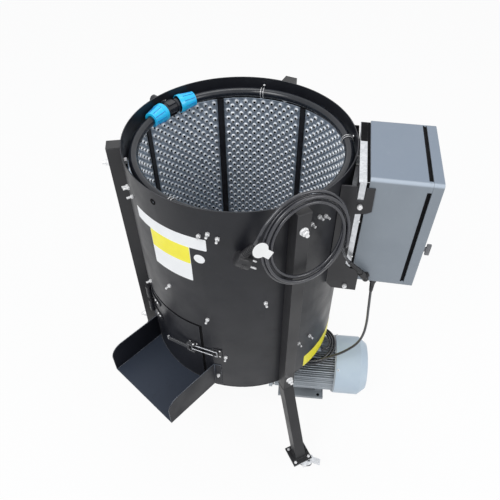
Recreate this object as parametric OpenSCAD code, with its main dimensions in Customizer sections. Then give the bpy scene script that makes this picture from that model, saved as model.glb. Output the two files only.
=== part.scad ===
// Walnut huller: a rasp-lined drum on three castored legs, turned by a worm-geared motor underneath.
// Millimetres. The origin is on the floor under the drum's axis, +Z up, +Y away from the viewer.

/* [Drum] */
// Outer diameter of the shell
drum_d = 600; // [580:5:640]
// Height of the shell
drum_h = 740; // [720:5:790]
// Height of the shell's lower edge over the floor
drum_z = 365; // [360:1:390]
// Thickness of the shell sheet
shell_t = 2; // [1.5:0.5:3]
// Thickness of the base plate
base_t = 3; // [2:0.5:5]

/* [Liner] */
// Number of rasp panels round the drum
panel_count = 7; // [7:1:7]
// Thickness of a rasp panel
panel_t = 1.5; // [1:0.25:2]
// Gap between the panels and the shell
panel_gap = 7.5; // [7:0.5:9]
// Distance of the panels' top edge below the rim
panel_drop = 62; // [58:1:70]
// Height of the panels' lower edge over the shell's lower edge
panel_rise = 60; // [50:1:80]
// Height of the short panel's lower edge over the door
short_panel_rise = 20; // [16:1:30]
// Distance between the dimples in a row of a panel
rasp_pitch = 27; // [26:0.5:32]
// Height of the dimples
rasp_h = 3; // [2:0.25:3]
// Width of the bars between the panels
bar_w = 16; // [12:1:18]
// Azimuth of the first bar
bar_az = 152.4; // [151:0.1:154]
// Diameter of the liner studs
stud_d = 6; // [5:0.5:6]
// How far a stud stands out of the shell
stud_out = 16; // [14:1:20]

/* [Legs] */
// Width of the square leg tube
leg_w = 35; // [30:1:40]
// Wall of the leg tube
leg_t = 2.5; // [2:0.5:3]
// Outward lean of the lower leg, in degrees
splay = 23; // [20:0.5:25]
// Height of the knee below the shell's lower edge
knee_drop = 5; // [5:1:12]
// Side of the square foot plate
foot_w = 68; // [64:1:76]
// Thickness of the foot plate
foot_t = 5; // [4:0.5:6]
// Diameter of the leg bolts
leg_bolt_d = 10; // [8:1:12]

/* [Casters] */
// Height of a caster from the floor to the foot plate
caster_h = 75; // [74:1:80]
// Diameter of the wheel
wheel_d = 50; // [46:1:52]
// Width of the wheel
wheel_w = 20; // [16:1:22]
// Offset of the wheel from the kingpin
trail = 26; // [24:1:28]
// Diameter of the axle
axle_d = 8; // [6:1:9]

/* [Discharge] */
// Azimuth of the door's hinged edge
door_az = -154; // [-154:0.5:-152]
// Angle that the door spans
door_span = 39; // [37:0.5:40]
// Distance of the door's top edge below the rim
door_drop = 450; // [448:1:460]
// Open gap along the door's top and free edge
door_gap = 10; // [6:0.5:10]
// Height of the chute floor over the shell's lower edge
chute_rise = 13; // [10:0.5:16]
// Width of the chute
chute_w = 270; // [262:1:290]
// Reach of the chute's front edge from the drum's axis
chute_reach = 455; // [440:1:480]
// Height of the chute's walls
wall_h = 105; // [90:1:110]
// Radius of the walls' front corners
wall_round = 40; // [20:1:60]
// Sheet thickness of the chute
chute_t = 2; // [1.5:0.5:3]

/* [Water ring] */
// Outer diameter of the pipe
pipe_d = 25; // [20:1:28]
// Wall of the pipe
pipe_t = 2.5; // [2:0.25:3]
// Distance of the pipe's centre below the rim
pipe_drop = 33; // [30:1:36]
// Azimuth of the tee
tee_az = 136; // [132:1:140]
// Diameter of the compression nuts at their wide end
nut_d = 52; // [48:1:53]
// Length of a compression nut
nut_l = 49; // [44:1:50]
// Length of the hose inlet outside the shell
inlet_l = 45; // [35:1:60]

/* [Drive] */
// Distance between the worm and the wheel shaft
worm_offset = 90; // [88:0.5:92]
// Height of the motor shaft over the floor
motor_z = 215; // [213:0.5:218]
// Direction of the motor, in degrees from +X
motor_az = -7.2; // [-9:0.1:-5]
// Diameter of the drive shaft
shaft_d = 35; // [30:1:38]
// Diameter of the motor shaft
motor_shaft_d = 24; // [20:1:28]
// Radius of the worm
worm_r = 25; // [22:0.5:26]
// Radius over the motor's fins
fin_r = 95; // [92:0.5:97]
// Number of fins
fin_count = 24; // [20:2:28]
// Diameter of the rotor disc
disc_d = 544; // [520:2:548]
// Radius of the fan cover
cover_r = 102; // [98:0.5:104]
// Length of the fan cover
cover_l = 110; // [100:1:120]

/* [Control box] */
// Direction that the box faces, in degrees from +X
box_az = -11; // [-14:0.5:-8]
// Distance of the box's back from the drum's axis
box_back = 329; // [329:1:340]
// Width of the box
box_w = 255; // [245:1:262]
// Height of the box
box_h = 350; // [340:1:360]
// Depth of the box without its door
box_depth = 134; // [120:1:145]
// Thickness of the folded door
box_door_t = 24; // [20:1:28]
// Gap for the gasket between box and door
gasket_t = 7; // [5:0.5:8]
// Sheet thickness of the box
box_t = 1.5; // [1.25:0.25:2]
// Corner radius of the box
box_round = 10; // [6:1:14]
// Sideways offset of the box's middle
box_shift = -12; // [-14:1:-10]
// Thickness of the bracket plates
plate_t = 3; // [2:0.5:4]
// Travel of the push buttons
button_travel = 4; // [3:0.5:5]

/* [Cords] */
// Diameter of the mains cord and the motor cable
cord_d = 8; // [7:0.5:8]
// Turns of the mains coil
coil_turns = 3.383; // [3.383:0.001:3.383]
// Outer radius of the mains coil, at the middle of the cord
coil_r = 116; // [112:1:120]
// Outer radius of the motor cable's loops, at the middle of the cable
loop_r = 93; // [92:0.1:95]

/* [Hidden] */
$fn = 64;
side_names = ["left", "front", "back"];

// Clearances
face_gap = 0.3;
fit_gap = 0.05;
hole_gap = 0.2;
eps = 1;

// Drum
shell_r = drum_d / 2;
shell_in = shell_r - shell_t;
rim_z = drum_z + drum_h;
base_top = drum_z + base_t;
base_hole_r = shaft_d / 2 + 4;

// Liner
panel_out = shell_in - panel_gap;
panel_in = panel_out - panel_t;
panel_top = rim_z - panel_drop;
panel_low = drum_z + panel_rise;
panel_step = 360 / panel_count;
bar_in = panel_in - 3;
bar_half = asin(bar_w / 2 / panel_in);
panel_margin = bar_half + 0.3;
stud_edge = 4.2;
stud_top_drop = 81;
stud_mid_drop = 318;
stud_low_drop = 570;
stud_bar_drop = 70;
stud_top_z = rim_z - stud_top_drop;
stud_mid_z = rim_z - stud_mid_drop;
stud_low_z = rim_z - stud_low_drop;
stud_bar_z = rim_z - stud_bar_drop;
stud_nut_d = 11;
stud_nut_t = 5;
door_panel = 1;
rasp_edge = 11.5;
function bar_at(k) = bar_az + k * panel_step;

// Legs
leg_az = [186, -66, 62];
leg_r = shell_r + face_gap + leg_w / 2;
cap_t = 3;
cap_plug = 12;
leg_top = rim_z - 2 - cap_t;
knee_z = drum_z - knee_drop;
foot_low = caster_h;
foot_top = caster_h + foot_t;
foot_r = leg_r + (knee_z - foot_top) * tan(splay);
leg_bolt_z = [rim_z - 54, drum_z + 50];
leg_bolt_head = 6;
leg_bolt_end = 18;
foot_bolt_d = 6;
foot_bolt_at = foot_w / 2 - 9;
function leg_edge(h, sign, low) = let (zk = knee_z + sign * h * tan(splay / 2))
    [leg_r + sign * h + (zk - low) * tan(splay), low];
function leg_side(h, top, low) = [
    [leg_r + h, top], [leg_r + h, knee_z + h * tan(splay / 2)], leg_edge(h, 1, low),
    leg_edge(h, -1, low), [leg_r - h, knee_z - h * tan(splay / 2)], [leg_r - h, top]
];

// Casters
trail_az = [150, -15, 80];
caster_plate_t = 3;
race_h = 8;
race_d = 44;
kingpin_d = 10;
kingpin_head = 3;
crown_t = 3;
crown_top = caster_h - caster_plate_t - race_h - face_gap;
crown_low = crown_top - crown_t;
cheek_t = 3;
cheek_gap = 1;
cheek_in = wheel_w / 2 + cheek_gap;
wheel_r = wheel_d / 2;
brake_pin_d = 5;
brake_x = trail + 18;
brake_z = wheel_r + 25;
brake_boss_d = 9;
brake_finger = 8;
brake_tip_r = 1;
brake_angle = 62;
brake_toe = 34;

// Discharge door, hinges and latch
door_top = rim_z - door_drop;
chute_z = drum_z + chute_rise;
door_low = chute_z + 3;
hinge_side_gap = 1;
door_end = door_az + door_span;
gap_angle = door_gap / shell_r * 180 / PI;
hinge_az = door_az - 3.5;
hinge_r = shell_r + 9;
hinge_d = 16;
hinge_pin_d = 8;
knuckle_h = 16;
hinge_z = [door_top - 23, door_top - 87];
strap_t = 3;
strap_angle = 9;
latch_drop = 557;
latch_z = rim_z - latch_drop;
latch_az = door_end - 4;
latch_plate_t = 2;
latch_plate_w = 34;
latch_plate_h = 42;
latch_pivot = 9;
latch_pin_d = 4;
latch_ear_t = 2.5;
latch_ear_in = 16;
lever_l = 86;
lever_t = 3;
cheek_w = 3;
bail_x = -8;
bail_y = 1.5;
bail_wire = 4;
bail_half = latch_ear_in - face_gap - cheek_w - face_gap - bail_wire / 2;
catch_turn = 12;
catch_az = latch_az + catch_turn;
catch_t = 3;
catch_h = 12;
catch_w = 10;
catch_room = 6;
hook_r = shell_r + 7;
hook_off = catch_t / 2 + catch_room + bail_wire / 2;
hook_x = hook_r * sin(catch_turn) + hook_off * cos(catch_turn);
hook_y = shell_r - hook_r * cos(catch_turn) + hook_off * sin(catch_turn);
bail_lean = atan2(hook_y + latch_pivot - bail_y, hook_x - bail_x);
bail_l = norm([hook_x - bail_x, hook_y + latch_pivot - bail_y]);

// Panel over the door, and the studs, which keep clear of the door and of its catch
catch_side = 23;
stud_clear = 1;
short_low = door_top + short_panel_rise;
stud_short_z = door_top + door_gap + 42;
stud_by_catch = catch_az + 360 + asin((catch_side + stud_nut_d / 2 + stud_clear) / shell_r);
function low_stud_z(k) = k == door_panel ? stud_short_z : stud_low_z;
function low_stud_az(k) = max(bar_at(k) + stud_edge, k == door_panel + 1 ? stud_by_catch : 0);
liner_spots = [for (k = [0:panel_count - 1]) each [
    [bar_at(k) + stud_edge, stud_top_z], [bar_at(k + 1) - stud_edge, stud_top_z],
    [bar_at(k) + panel_step / 2, stud_mid_z],
    [low_stud_az(k), low_stud_z(k)], [bar_at(k + 1) - stud_edge, low_stud_z(k)]
]];
bar_spots = [for (k = [0:panel_count - 1]) [bar_at(k), stud_bar_z]];

// Chute
chute_az = -134.5;
flange_angle = 4;
wall_top = chute_z + wall_h;
chute_bolt_d = 6;
chute_edge = asin(chute_w / 2 / (shell_r + face_gap));
chute_spots = [for (s = [-1, 1])
    [chute_az + s * (chute_edge + flange_angle / 2 + 0.3), chute_z + wall_h / 2]];
rim_hole = [-132, rim_z - 31];

// Water ring
ring_z = rim_z - pipe_drop;
tee_r = pipe_d / 2 + 5;
tee_half = 25;
tee_dist = shell_in - nut_d / 2 - 2;
ring_far = shell_in - 3 - pipe_d / 2;
ring_shift = (ring_far - tee_dist) / 2;
ring_r = ring_far - ring_shift;
nut_small_d = 40;
nut_place = tee_half + nut_l / 2 + 3.5;
nut_turn = asin(nut_place / ring_r);
pipe_start = asin((tee_half + 1.7) / ring_r);
inlet_d = pipe_d + 1;
inlet_gap = 3;
inlet_hole_r = inlet_d / 2 + 0.5;
clip_az = [2, 75, 235, 300];
clip_w = 8;
clip_t = 2;
function ring_at(a) = let (b = a - tee_az)
    sqrt(pow(ring_r, 2) - pow(ring_shift * sin(b), 2)) - ring_shift * cos(b);

// Drive
gear_gap = 0.5;
wheel_gear_r = worm_offset - worm_r - gear_gap;
gear_half = 20;
chamber_r = wheel_gear_r + 4;
box_low = motor_z - 60;
box_top = motor_z + 65;
tunnel_r = worm_r + 4;
motor_face = 108;
flange_t = 20;
body_end = 343;
bore_r = 70;
core_r = 62;
tube_r = 78;
fin_t = 2.5;
foot_drop = 112;
fan_r = 80;
cover_t = 1.5;
disc_low = base_top + 18;
disc_t = 6;
hub_d = 80;
rib_count = 4;
rib_h = 15;
rib_w = 20;
bearing_d = 110;
bearing_h = 20;
post_d = 22;
post_r = 85;
hanger_t = 8;

// Motor cable loops and terminal box
loop_pitch = 8.8;
loop_turns = 2.75;
loop_x = 242;
loop_z = 321;
loop_droop = 20;
loop_shift = 15;
loop_start = 0.25;
loop_end_r = loop_r - loop_pitch * loop_turns;
turn_in = 32;
inlet_x = loop_x + loop_end_r - turn_in;
inlet_y = loop_shift - turn_in;
terminal_l = 66;
terminal_w = 60;
terminal_h = 54;
terminal_end = inlet_x - 21.5;
terminal_shift = loop_shift - 11;

// Control box
box_front = box_back + box_depth;
door_back = box_front + gasket_t;
door_front = door_back + box_door_t;
box_top_z = rim_z + 3;
box_low_z = box_top_z - box_h;
box_near = box_shift - box_w / 2;
box_far = box_shift + box_w / 2;
lid_axis_x = box_front + gasket_t / 2;
lid_axis_y = box_far + 7;
lid_barrel_d = 12;
lid_pin_d = 6;
lid_hinge_h = 40;
lid_hinge_z = [box_low_z + 70, box_top_z - 70];
lock_y = box_near + 34;
lock_z = rim_z - 232;
lock_d = 20;
lip_back = 10;
lip_t = 3;
lip_w = 14;
cam_t = 3;
cam_l = 26;
knob_z = box_top_z - 110;
knob_shaft_d = 10;
button_z = box_top_z - 190;
button_d = 22;
button_apart = 36;
hanger_plate = 5;
ear_drops = [78, 368];
ear_z = [for (drop = ear_drops) rim_z - drop];
ear_x = 316;
ear_t = 3;
ear_bolt_d = 8;
plate_edge_x = ear_x - 8;
plate_top_z = rim_z - 20;
notch_z = rim_z - 62;
arm_top_z = rim_z - 22;
arm_low_z = rim_z - 92;
arm_reach = 15;
waist_top_z = rim_z - 104;
waist_low_z = rim_z - 285;
heel_top_z = rim_z - 300;
heel_low_z = rim_z - 384;
heel_reach = 19;
heel_cut = [14, 18];
back_plate_t = 2;
back_plate_edge = [25, 30];
rail_t = 8;
rail_w = 35;
rail_edge = 40;
contactor = [78, 46, 80];
contactor_y = -60;
relay = [50, 60, 60];
relay_y = 10;
gland_l = 30;
gland_d = 18;
motor_gland = [394, -118];
mains_gland = [366, box_low_z + 30];
elbow_out = 16;
elbow_lean = 37;
elbow_l = 38;

// Frames
function spin(a, v) = [v[0] * cos(a) - v[1] * sin(a), v[0] * sin(a) + v[1] * cos(a), v[2]];
function motor_pt(x, y, z) = spin(motor_az, [x, y, z]);
function box_pt(x, y, z) = spin(box_az, [x, y, z]);
module motor_at() { rotate([0, 0, motor_az]) translate([0, -worm_offset, motor_z]) children(); }
module box_at() { rotate([0, 0, box_az]) children(); }
module radial_at(az, r, z) { rotate([0, 0, az]) translate([r, 0, z]) rotate([0, 90, 0]) children(); }
module leg_at(i) { rotate([0, 0, leg_az[i]]) children(); }
module caster_at(i) {
    leg_at(i) translate([foot_r, 0, 0]) rotate([0, 0, trail_az[i] - leg_az[i]]) children();
}
module latch_at() { rotate([0, 0, latch_az]) translate([shell_r, 0, latch_z]) rotate([0, 0, 90])
    children(); }

// Cords: the mains coil hangs on the front leg in its own tilted plane
coil_tilt = 9;
coil_az = leg_az[1];
coil_start = 128;
coil_in_turns = 1.75;
coil_in_pitch = 9;
coil_dip = 10.25;
coil_dip_turn = 1.1;
coil_out_pitch = 12;
coil_stretch = 1.08;
coil_layer = 8.9;
coil_center = spin(coil_az, [334, 8, rim_z - 87]);
coil_e1 = spin(coil_az, [0, 1, 0]);
coil_e2 = spin(coil_az, [-sin(coil_tilt), 0, cos(coil_tilt)]);
coil_n = spin(coil_az, [cos(coil_tilt), 0, sin(coil_tilt)]);
coil_in_r = coil_r - coil_in_pitch * coil_in_turns - coil_dip;
rings_per_turn = 24;
plug_pos = [1.2, -323, 979.5];
plug_lean = [10, 30, 0];
plug_neck = 66;
neck_side = -8;
tail_points = [[36, -338, 1066], [49, -331, 1092]];
lead_points = [[248.5, -272, 968], [247, -250, 940], [253, -230, 905], [264, -216, 872], [283, -214, 842]];
motor_lead_points = [[366, -191, 690], [372, -192, 615], [377, -194, 545], [375, -196, 485],
    [362, -197, 438], [334, -197, 400], [302, -197, 373], [268, -197, 354], [232, -198, 343],
    [187, -187, 335], [156, -158, 328], [142, -124, 323]];

function ease(t) = let (s = min(1, max(0, t))) s * s * (3 - 2 * s);
function coil_radius(u) = u < coil_in_turns
    ? coil_r - coil_in_pitch * u - coil_dip * ease((u - coil_dip_turn) / (coil_in_turns - coil_dip_turn))
    : coil_in_r + coil_out_pitch * (u - coil_in_turns);
function coil_pt(u) = let (a = coil_start - 360 * u, r = coil_radius(u))
    coil_center + r * cos(a) * coil_e1 + coil_stretch * r * sin(a) * coil_e2
    + coil_layer * ease((u - coil_in_turns + 0.25) * 2) * coil_n;
function loop_height(dy) = loop_z - loop_droop * pow(dy / loop_r, 2);
function loop_at(x, y) = motor_pt(x, loop_shift - worm_offset + y, loop_height(loop_shift + y));
function loop_pt(u) = let (a = -90 - 360 * u, r = loop_r - loop_pitch * u)
    loop_at(loop_x + r * cos(a), r * sin(a));
function turn_in_pt(a) = loop_at(inlet_x + turn_in * cos(a), turn_in * sin(a));
function plug_turn(v) = let (a = plug_lean[0], b = plug_lean[1],
    p = [v[0], v[1] * cos(a) - v[2] * sin(a), v[1] * sin(a) + v[2] * cos(a)])
    [p[0] * cos(b) + p[2] * sin(b), p[1], -p[0] * sin(b) + p[2] * cos(b)];
plug_tip = plug_pos + plug_turn([neck_side, 0, plug_neck]);
elbow_pos = box_pt(mains_gland[0], box_near - elbow_out, mains_gland[1]);
elbow_dir = box_pt(-sin(elbow_lean), 0, cos(elbow_lean));
lead_end = elbow_pos + elbow_l * elbow_dir;
motor_gland_tip = box_pt(motor_gland[0], motor_gland[1], box_low_z - gland_l);

function unit(v) = v / norm(v);
function bezier(a, b, c, d, t) = pow(1 - t, 3) * a + 3 * t * pow(1 - t, 2) * b + 3 * t * t * (1 - t) * c
    + pow(t, 3) * d;
function slope(p, i) = i == 0 ? p[1] - p[0] : i == len(p) - 1 ? p[i] - p[i - 1] : (p[i + 1] - p[i - 1]) / 2;
function smooth(p, n) = [
    for (i = [0:len(p) - 2], k = [0:n - 1])
        bezier(p[i], p[i] + slope(p, i) / 3, p[i + 1] - slope(p, i + 1) / 3, p[i + 1], k / n),
    p[len(p) - 1]
];
coil_path = [for (k = [0:round(coil_turns * rings_per_turn)]) coil_pt(min(coil_turns, k / rings_per_turn))];
tail_path = smooth([plug_tip, each tail_points, coil_path[0]], 2);
mains_path = [for (i = [0:len(tail_path) - 2]) tail_path[i], each coil_path];
lead_path = smooth([coil_path[len(coil_path) - 1], each lead_points, lead_end], 2);
motor_lead_path = smooth([motor_gland_tip, each motor_lead_points, loop_pt(loop_start)], 3);
loop_path = [
    for (k = [loop_start * rings_per_turn:loop_turns * rings_per_turn]) loop_pt(k / rings_per_turn),
    for (a = [-15:-15:-90]) turn_in_pt(a)
];
function self_gap(p, d, skip) = min([for (i = [0:len(p) - 1 - skip], j = [i + skip:len(p) - 1])
    norm(p[i] - p[j])]) - d;
echo(mains_coil_gap = self_gap(coil_path, cord_d, 12), motor_coil_gap = self_gap(loop_path, cord_d, 12));

function ring(p, t, ref, r, sides) = let (a = unit(cross(t, ref)), b = cross(t, a))
    [for (k = [0:sides - 1]) p + r * (cos(360 * k / sides) * a + sin(360 * k / sides) * b)];
module tube(path, d, sides, ref) {
    last = len(path) - 1;
    points = [for (i = [0:last]) each ring(path[i], unit(slope(path, i)), ref, d / 2, sides)];
    walls = [for (i = [0:last - 1], k = [0:sides - 1])
        let (a = i * sides + k, b = i * sides + (k + 1) % sides)
        each [[a, b + sides, b], [a, a + sides, b + sides]]];
    start_cap = [for (k = [1:sides - 2]) [0, k, k + 1]];
    end_cap = [for (k = [1:sides - 2]) [last * sides, last * sides + k + 1, last * sides + k]];
    polyhedron(points = points, faces = concat(walls, start_cap, end_cap));
}

// Shapes that repeat
module arc_sheet(r0, r1, z0, z1, a0, span) {
    rotate([0, 0, a0]) rotate_extrude(angle = span, $fn = 180) translate([r0, z0])
        square([r1 - r0, z1 - z0]);
}
module ring_solid(r0, r1, h) {
    difference() {
        cylinder(r = r1, h = h);
        translate([0, 0, -eps]) cylinder(r = r0, h = h + 2 * eps);
    }
}
module round_rect(w, h, r) {
    translate([-w / 2 + r, -h / 2]) square([w - 2 * r, h]);
    translate([-w / 2, -h / 2 + r]) square([w, h - 2 * r]);
    for (x = [-1, 1], y = [-1, 1]) translate([x * (w / 2 - r), y * (h / 2 - r)]) circle(r, $fn = 32);
}
module box_slab(x0, x1, inset, r) {
    translate([x0, box_shift, (box_top_z + box_low_z) / 2]) rotate([90, 0, 90])
        linear_extrude(x1 - x0) round_rect(box_w - 2 * inset, box_h - 2 * inset, r);
}
module hex_nut(d, h) { cylinder(d = d, h = h, $fn = 6); }

// Drum
module stud_holes(spots) {
    for (s = spots) radial_at(s[0], shell_in - eps, s[1])
        cylinder(d = stud_d + 2 * hole_gap, h = shell_t + 2 * eps);
}
module leg_bolt_holes(from, to) {
    for (z = leg_bolt_z) translate([from, 0, z]) rotate([0, 90, 0])
        cylinder(d = leg_bolt_d + 2 * hole_gap, h = to - from);
}
module drum_shell() {
    color([0.13, 0.13, 0.15]) difference() {
        translate([0, 0, drum_z]) ring_solid(shell_in, shell_r, drum_h, $fn = 180);
        arc_sheet(shell_in - eps, shell_r + eps, chute_z, door_top + door_gap,
            door_az - hinge_side_gap, door_span + hinge_side_gap + gap_angle);
        stud_holes(concat(liner_spots, bar_spots));
        for (i = [0:2]) leg_at(i) leg_bolt_holes(shell_in - eps, shell_r + eps);
        for (s = chute_spots) radial_at(s[0], shell_in - eps, s[1])
            cylinder(d = chute_bolt_d + 2 * hole_gap, h = shell_t + 2 * eps);
        radial_at(rim_hole[0], shell_in - eps, rim_hole[1]) cylinder(d = 8, h = shell_t + 2 * eps);
        radial_at(tee_az, shell_in - eps, ring_z) cylinder(r = inlet_hole_r, h = shell_t + 2 * eps);
    }
}
module drum_base() {
    color([0.15, 0.15, 0.16]) translate([0, 0, drum_z]) difference() {
        cylinder(r = shell_in - face_gap, h = base_t, $fn = 180);
        translate([0, 0, -eps]) cylinder(r = base_hole_r, h = base_t + 2 * eps);
        for (k = [0:5]) rotate([0, 0, 60 * k]) translate([shell_in - 70, -6, -eps])
            cube([45, 12, base_t + 2 * eps]);
    }
}
module rasp_panel(low, span) {
    cell = rasp_pitch / 2;
    half = panel_in * span * PI / 360;
    side = floor((half - rasp_edge) / cell);
    down = floor((panel_top - low - 2 * rasp_edge) / cell);
    xs = [-half, for (k = [-side:side]) k * cell, half];
    zs = [panel_top, for (k = [0:down]) panel_top - rasp_edge - k * cell, low];
    nx = len(xs);
    nz = len(zs);
    function raised(i, j) = i > 0 && i < nx - 1 && j > 0 && j < nz - 1 && (i + j) % 2 == 0;
    function spot(r, i, z) = let (a = xs[i] / panel_in * 180 / PI) [r * cos(a), r * sin(a), z];
    function inner(i, j) = j * nx + i;
    function outer(i, j) = nz * nx + j * nx + i;
    points = [
        for (j = [0:nz - 1], i = [0:nx - 1]) spot(raised(i, j) ? panel_in - rasp_h : panel_in, i, zs[j]),
        for (z = [panel_top, low], i = [0:nx - 1]) spot(panel_out, i, z)
    ];
    front = [for (j = [0:nz - 2], i = [0:nx - 2])
        let (a = inner(i, j), b = inner(i + 1, j), c = inner(i + 1, j + 1), d = inner(i, j + 1))
        each (i + j) % 2 == 0 ? [[a, d, b], [b, d, c]] : [[a, c, b], [a, d, c]]];
    back = [for (i = [0:nx - 2]) each [
        [outer(i, 0), outer(i + 1, 0), outer(i + 1, 1)], [outer(i, 0), outer(i + 1, 1), outer(i, 1)]]];
    rims = [for (i = [0:nx - 2]) each [
        [inner(i, 0), outer(i + 1, 0), outer(i, 0)], [inner(i, 0), inner(i + 1, 0), outer(i + 1, 0)],
        [inner(i, nz - 1), outer(i, 1), outer(i + 1, 1)],
        [inner(i, nz - 1), outer(i + 1, 1), inner(i + 1, nz - 1)]]];
    sides = [
        [outer(0, 0), outer(0, 1), for (j = [nz - 1:-1:0]) inner(0, j)],
        [outer(nx - 1, 1), outer(nx - 1, 0), for (j = [0:nz - 1]) inner(nx - 1, j)]
    ];
    polyhedron(points = points, faces = concat(front, back, rims, sides));
}
module liner_panels() {
    color("silver") for (k = [0:panel_count - 1]) rotate([0, 0, bar_at(k + 0.5)])
        rasp_panel(k == door_panel ? short_low : panel_low, panel_step - 2 * panel_margin);
}
module liner_bars() {
    color([0.08, 0.08, 0.09]) for (k = [0:panel_count - 1])
        arc_sheet(bar_in, shell_in - face_gap, panel_low, panel_top, bar_at(k) - bar_half, 2 * bar_half);
}
module stud(from) {
    cylinder(d = stud_d, h = shell_r + stud_out - from);
    translate([0, 0, shell_r + face_gap - from]) hex_nut(stud_nut_d, stud_nut_t);
}
module liner_studs() {
    color("gainsboro") {
        for (s = liner_spots) radial_at(s[0], panel_out + face_gap / 2, s[1])
            stud(panel_out + face_gap / 2);
        for (s = bar_spots) radial_at(s[0], shell_in - face_gap / 2, s[1]) stud(shell_in - face_gap / 2);
    }
}

// Legs and fasteners
module leg(i) {
    color([0.2, 0.2, 0.21]) leg_at(i) {
        difference() {
            rotate([90, 0, 0]) linear_extrude(leg_w, center = true)
                polygon(leg_side(leg_w / 2, leg_top, foot_top));
            rotate([90, 0, 0]) linear_extrude(leg_w - 2 * leg_t, center = true)
                polygon(leg_side(leg_w / 2 - leg_t, leg_top + eps, foot_top - eps));
            leg_bolt_holes(leg_r - leg_w, leg_r + leg_w);
        }
        difference() {
            translate([foot_r - foot_w / 2, -foot_w / 2, foot_low]) cube([foot_w, foot_w, foot_t]);
            foot_bolts_at(0) translate([0, 0, foot_low - eps])
                cylinder(d = foot_bolt_d + 2 * hole_gap, h = foot_t + 2 * eps);
        }
    }
}
module foot_bolts_at(turn) {
    translate([foot_r, 0, 0]) rotate([0, 0, turn])
        for (x = [-1, 1], y = [-1, 1]) translate([x * foot_bolt_at, y * foot_bolt_at, 0]) children();
}
module leg_caps() {
    inner = leg_w - 2 * leg_t - 2 * hole_gap;
    color([0.1, 0.1, 0.1]) for (i = [0:2]) leg_at(i) {
        translate([leg_r - leg_w / 2, -leg_w / 2, leg_top]) cube([leg_w, leg_w, cap_t]);
        translate([leg_r - inner / 2, -inner / 2, leg_top - cap_plug]) cube([inner, inner, cap_plug]);
    }
}
module leg_bolt() {
    head_r = shell_in - face_gap - leg_bolt_head;
    end_r = leg_r + leg_w / 2;
    translate([head_r, 0, 0]) rotate([0, 90, 0]) {
        hex_nut(leg_bolt_d * 1.8, leg_bolt_head);
        cylinder(d = leg_bolt_d, h = end_r + leg_bolt_end - head_r);
        translate([0, 0, end_r + face_gap - head_r]) cylinder(d = leg_bolt_d * 2.2, h = 2);
        translate([0, 0, end_r + face_gap + 2 - head_r]) hex_nut(leg_bolt_d * 1.8, 8);
    }
}
module foot_bolt() {
    low = foot_low - caster_plate_t;
    translate([0, 0, low - 4]) hex_nut(foot_bolt_d * 1.7, 4 - face_gap / 2);
    translate([0, 0, low - 4]) cylinder(d = foot_bolt_d, h = caster_plate_t + foot_t + 10);
    translate([0, 0, foot_top + face_gap / 2]) hex_nut(foot_bolt_d * 1.7, 4);
}
module ear_bolts() {
    for (z = ear_z) {
        for (side = [0, 1]) {
            y = side == 0 ? box_near : box_far;
            translate([ear_x, y, z]) rotate([side == 0 ? 90 : -90, 0, 0]) {
                translate([0, 0, -ear_t - 8]) cylinder(d = ear_bolt_d, h = ear_t + plate_t + 18);
                translate([0, 0, plate_t + 2 * face_gap]) hex_nut(ear_bolt_d * 1.7, 6);
                translate([0, 0, -ear_t - face_gap - 6]) hex_nut(ear_bolt_d * 1.7, 6);
            }
        }
    }
}
module chute_bolt() {
    low = shell_in - face_gap / 2;
    high = shell_r + 2 * face_gap + chute_t;
    translate([0, 0, low]) cylinder(d = chute_bolt_d, h = high + 9 - low);
    translate([0, 0, high]) hex_nut(chute_bolt_d * 1.8, 5);
}
module frame_bolts() {
    color("gainsboro") {
        for (s = chute_spots) radial_at(s[0], 0, s[1]) chute_bolt();
        for (i = [0:2]) leg_at(i) {
            for (z = leg_bolt_z) translate([0, 0, z]) leg_bolt();
            foot_bolts_at(0) foot_bolt();
        }
        box_at() ear_bolts();
    }
}

// Casters
module caster_plates() {
    color("silver") for (i = [0:2]) leg_at(i) {
        difference() {
            translate([foot_r - foot_w / 2, -foot_w / 2, foot_low - caster_plate_t])
                cube([foot_w, foot_w, caster_plate_t]);
            foot_bolts_at(0) translate([0, 0, foot_low - caster_plate_t - eps])
                cylinder(d = foot_bolt_d + 2 * hole_gap, h = caster_plate_t + 2 * eps);
        }
        translate([foot_r, 0, 0]) {
            translate([0, 0, crown_top + face_gap]) cylinder(d = race_d, h = race_h);
            translate([0, 0, crown_low - face_gap - kingpin_head])
                cylinder(d = kingpin_d, h = kingpin_head + crown_t + 2 * face_gap + 1);
            translate([0, 0, crown_low - face_gap - kingpin_head])
                cylinder(d = kingpin_d * 1.8, h = kingpin_head);
        }
    }
}
module cheek_outline() {
    polygon([[-12, crown_top - 1], [12, crown_top - 1],
        [brake_x + 5, brake_z + 5], [brake_x + 5, brake_z - 4],
        [trail + 8, wheel_r - 2], [trail - 8, wheel_r - 2]]);
    translate([trail, wheel_r]) circle(8);
}
module caster_fork(i) {
    color("lightgray") caster_at(i) {
        difference() {
            union() {
                translate([0, 0, crown_low]) cylinder(d = race_d, h = crown_t);
                translate([-11, -cheek_in - cheek_t / 2, crown_low])
                    cube([22, 2 * cheek_in + cheek_t, crown_t]);
                for (s = [-1, 1]) translate([0, s * (cheek_in + cheek_t / 2) + cheek_t / 2, 0])
                    rotate([90, 0, 0])
                    linear_extrude(cheek_t) cheek_outline();
                translate([trail, 0, wheel_r]) rotate([90, 0, 0])
                    cylinder(d = axle_d, h = 2 * (cheek_in + cheek_t + 3), center = true);
                translate([brake_x, 0, brake_z]) rotate([90, 0, 0])
                    cylinder(d = brake_pin_d, h = 2 * (cheek_in + cheek_t + 1), center = true);
            }
            translate([0, 0, crown_low - eps]) cylinder(r = kingpin_d / 2 + fit_gap, h = crown_t + 2 * eps);
        }
    }
}
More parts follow.
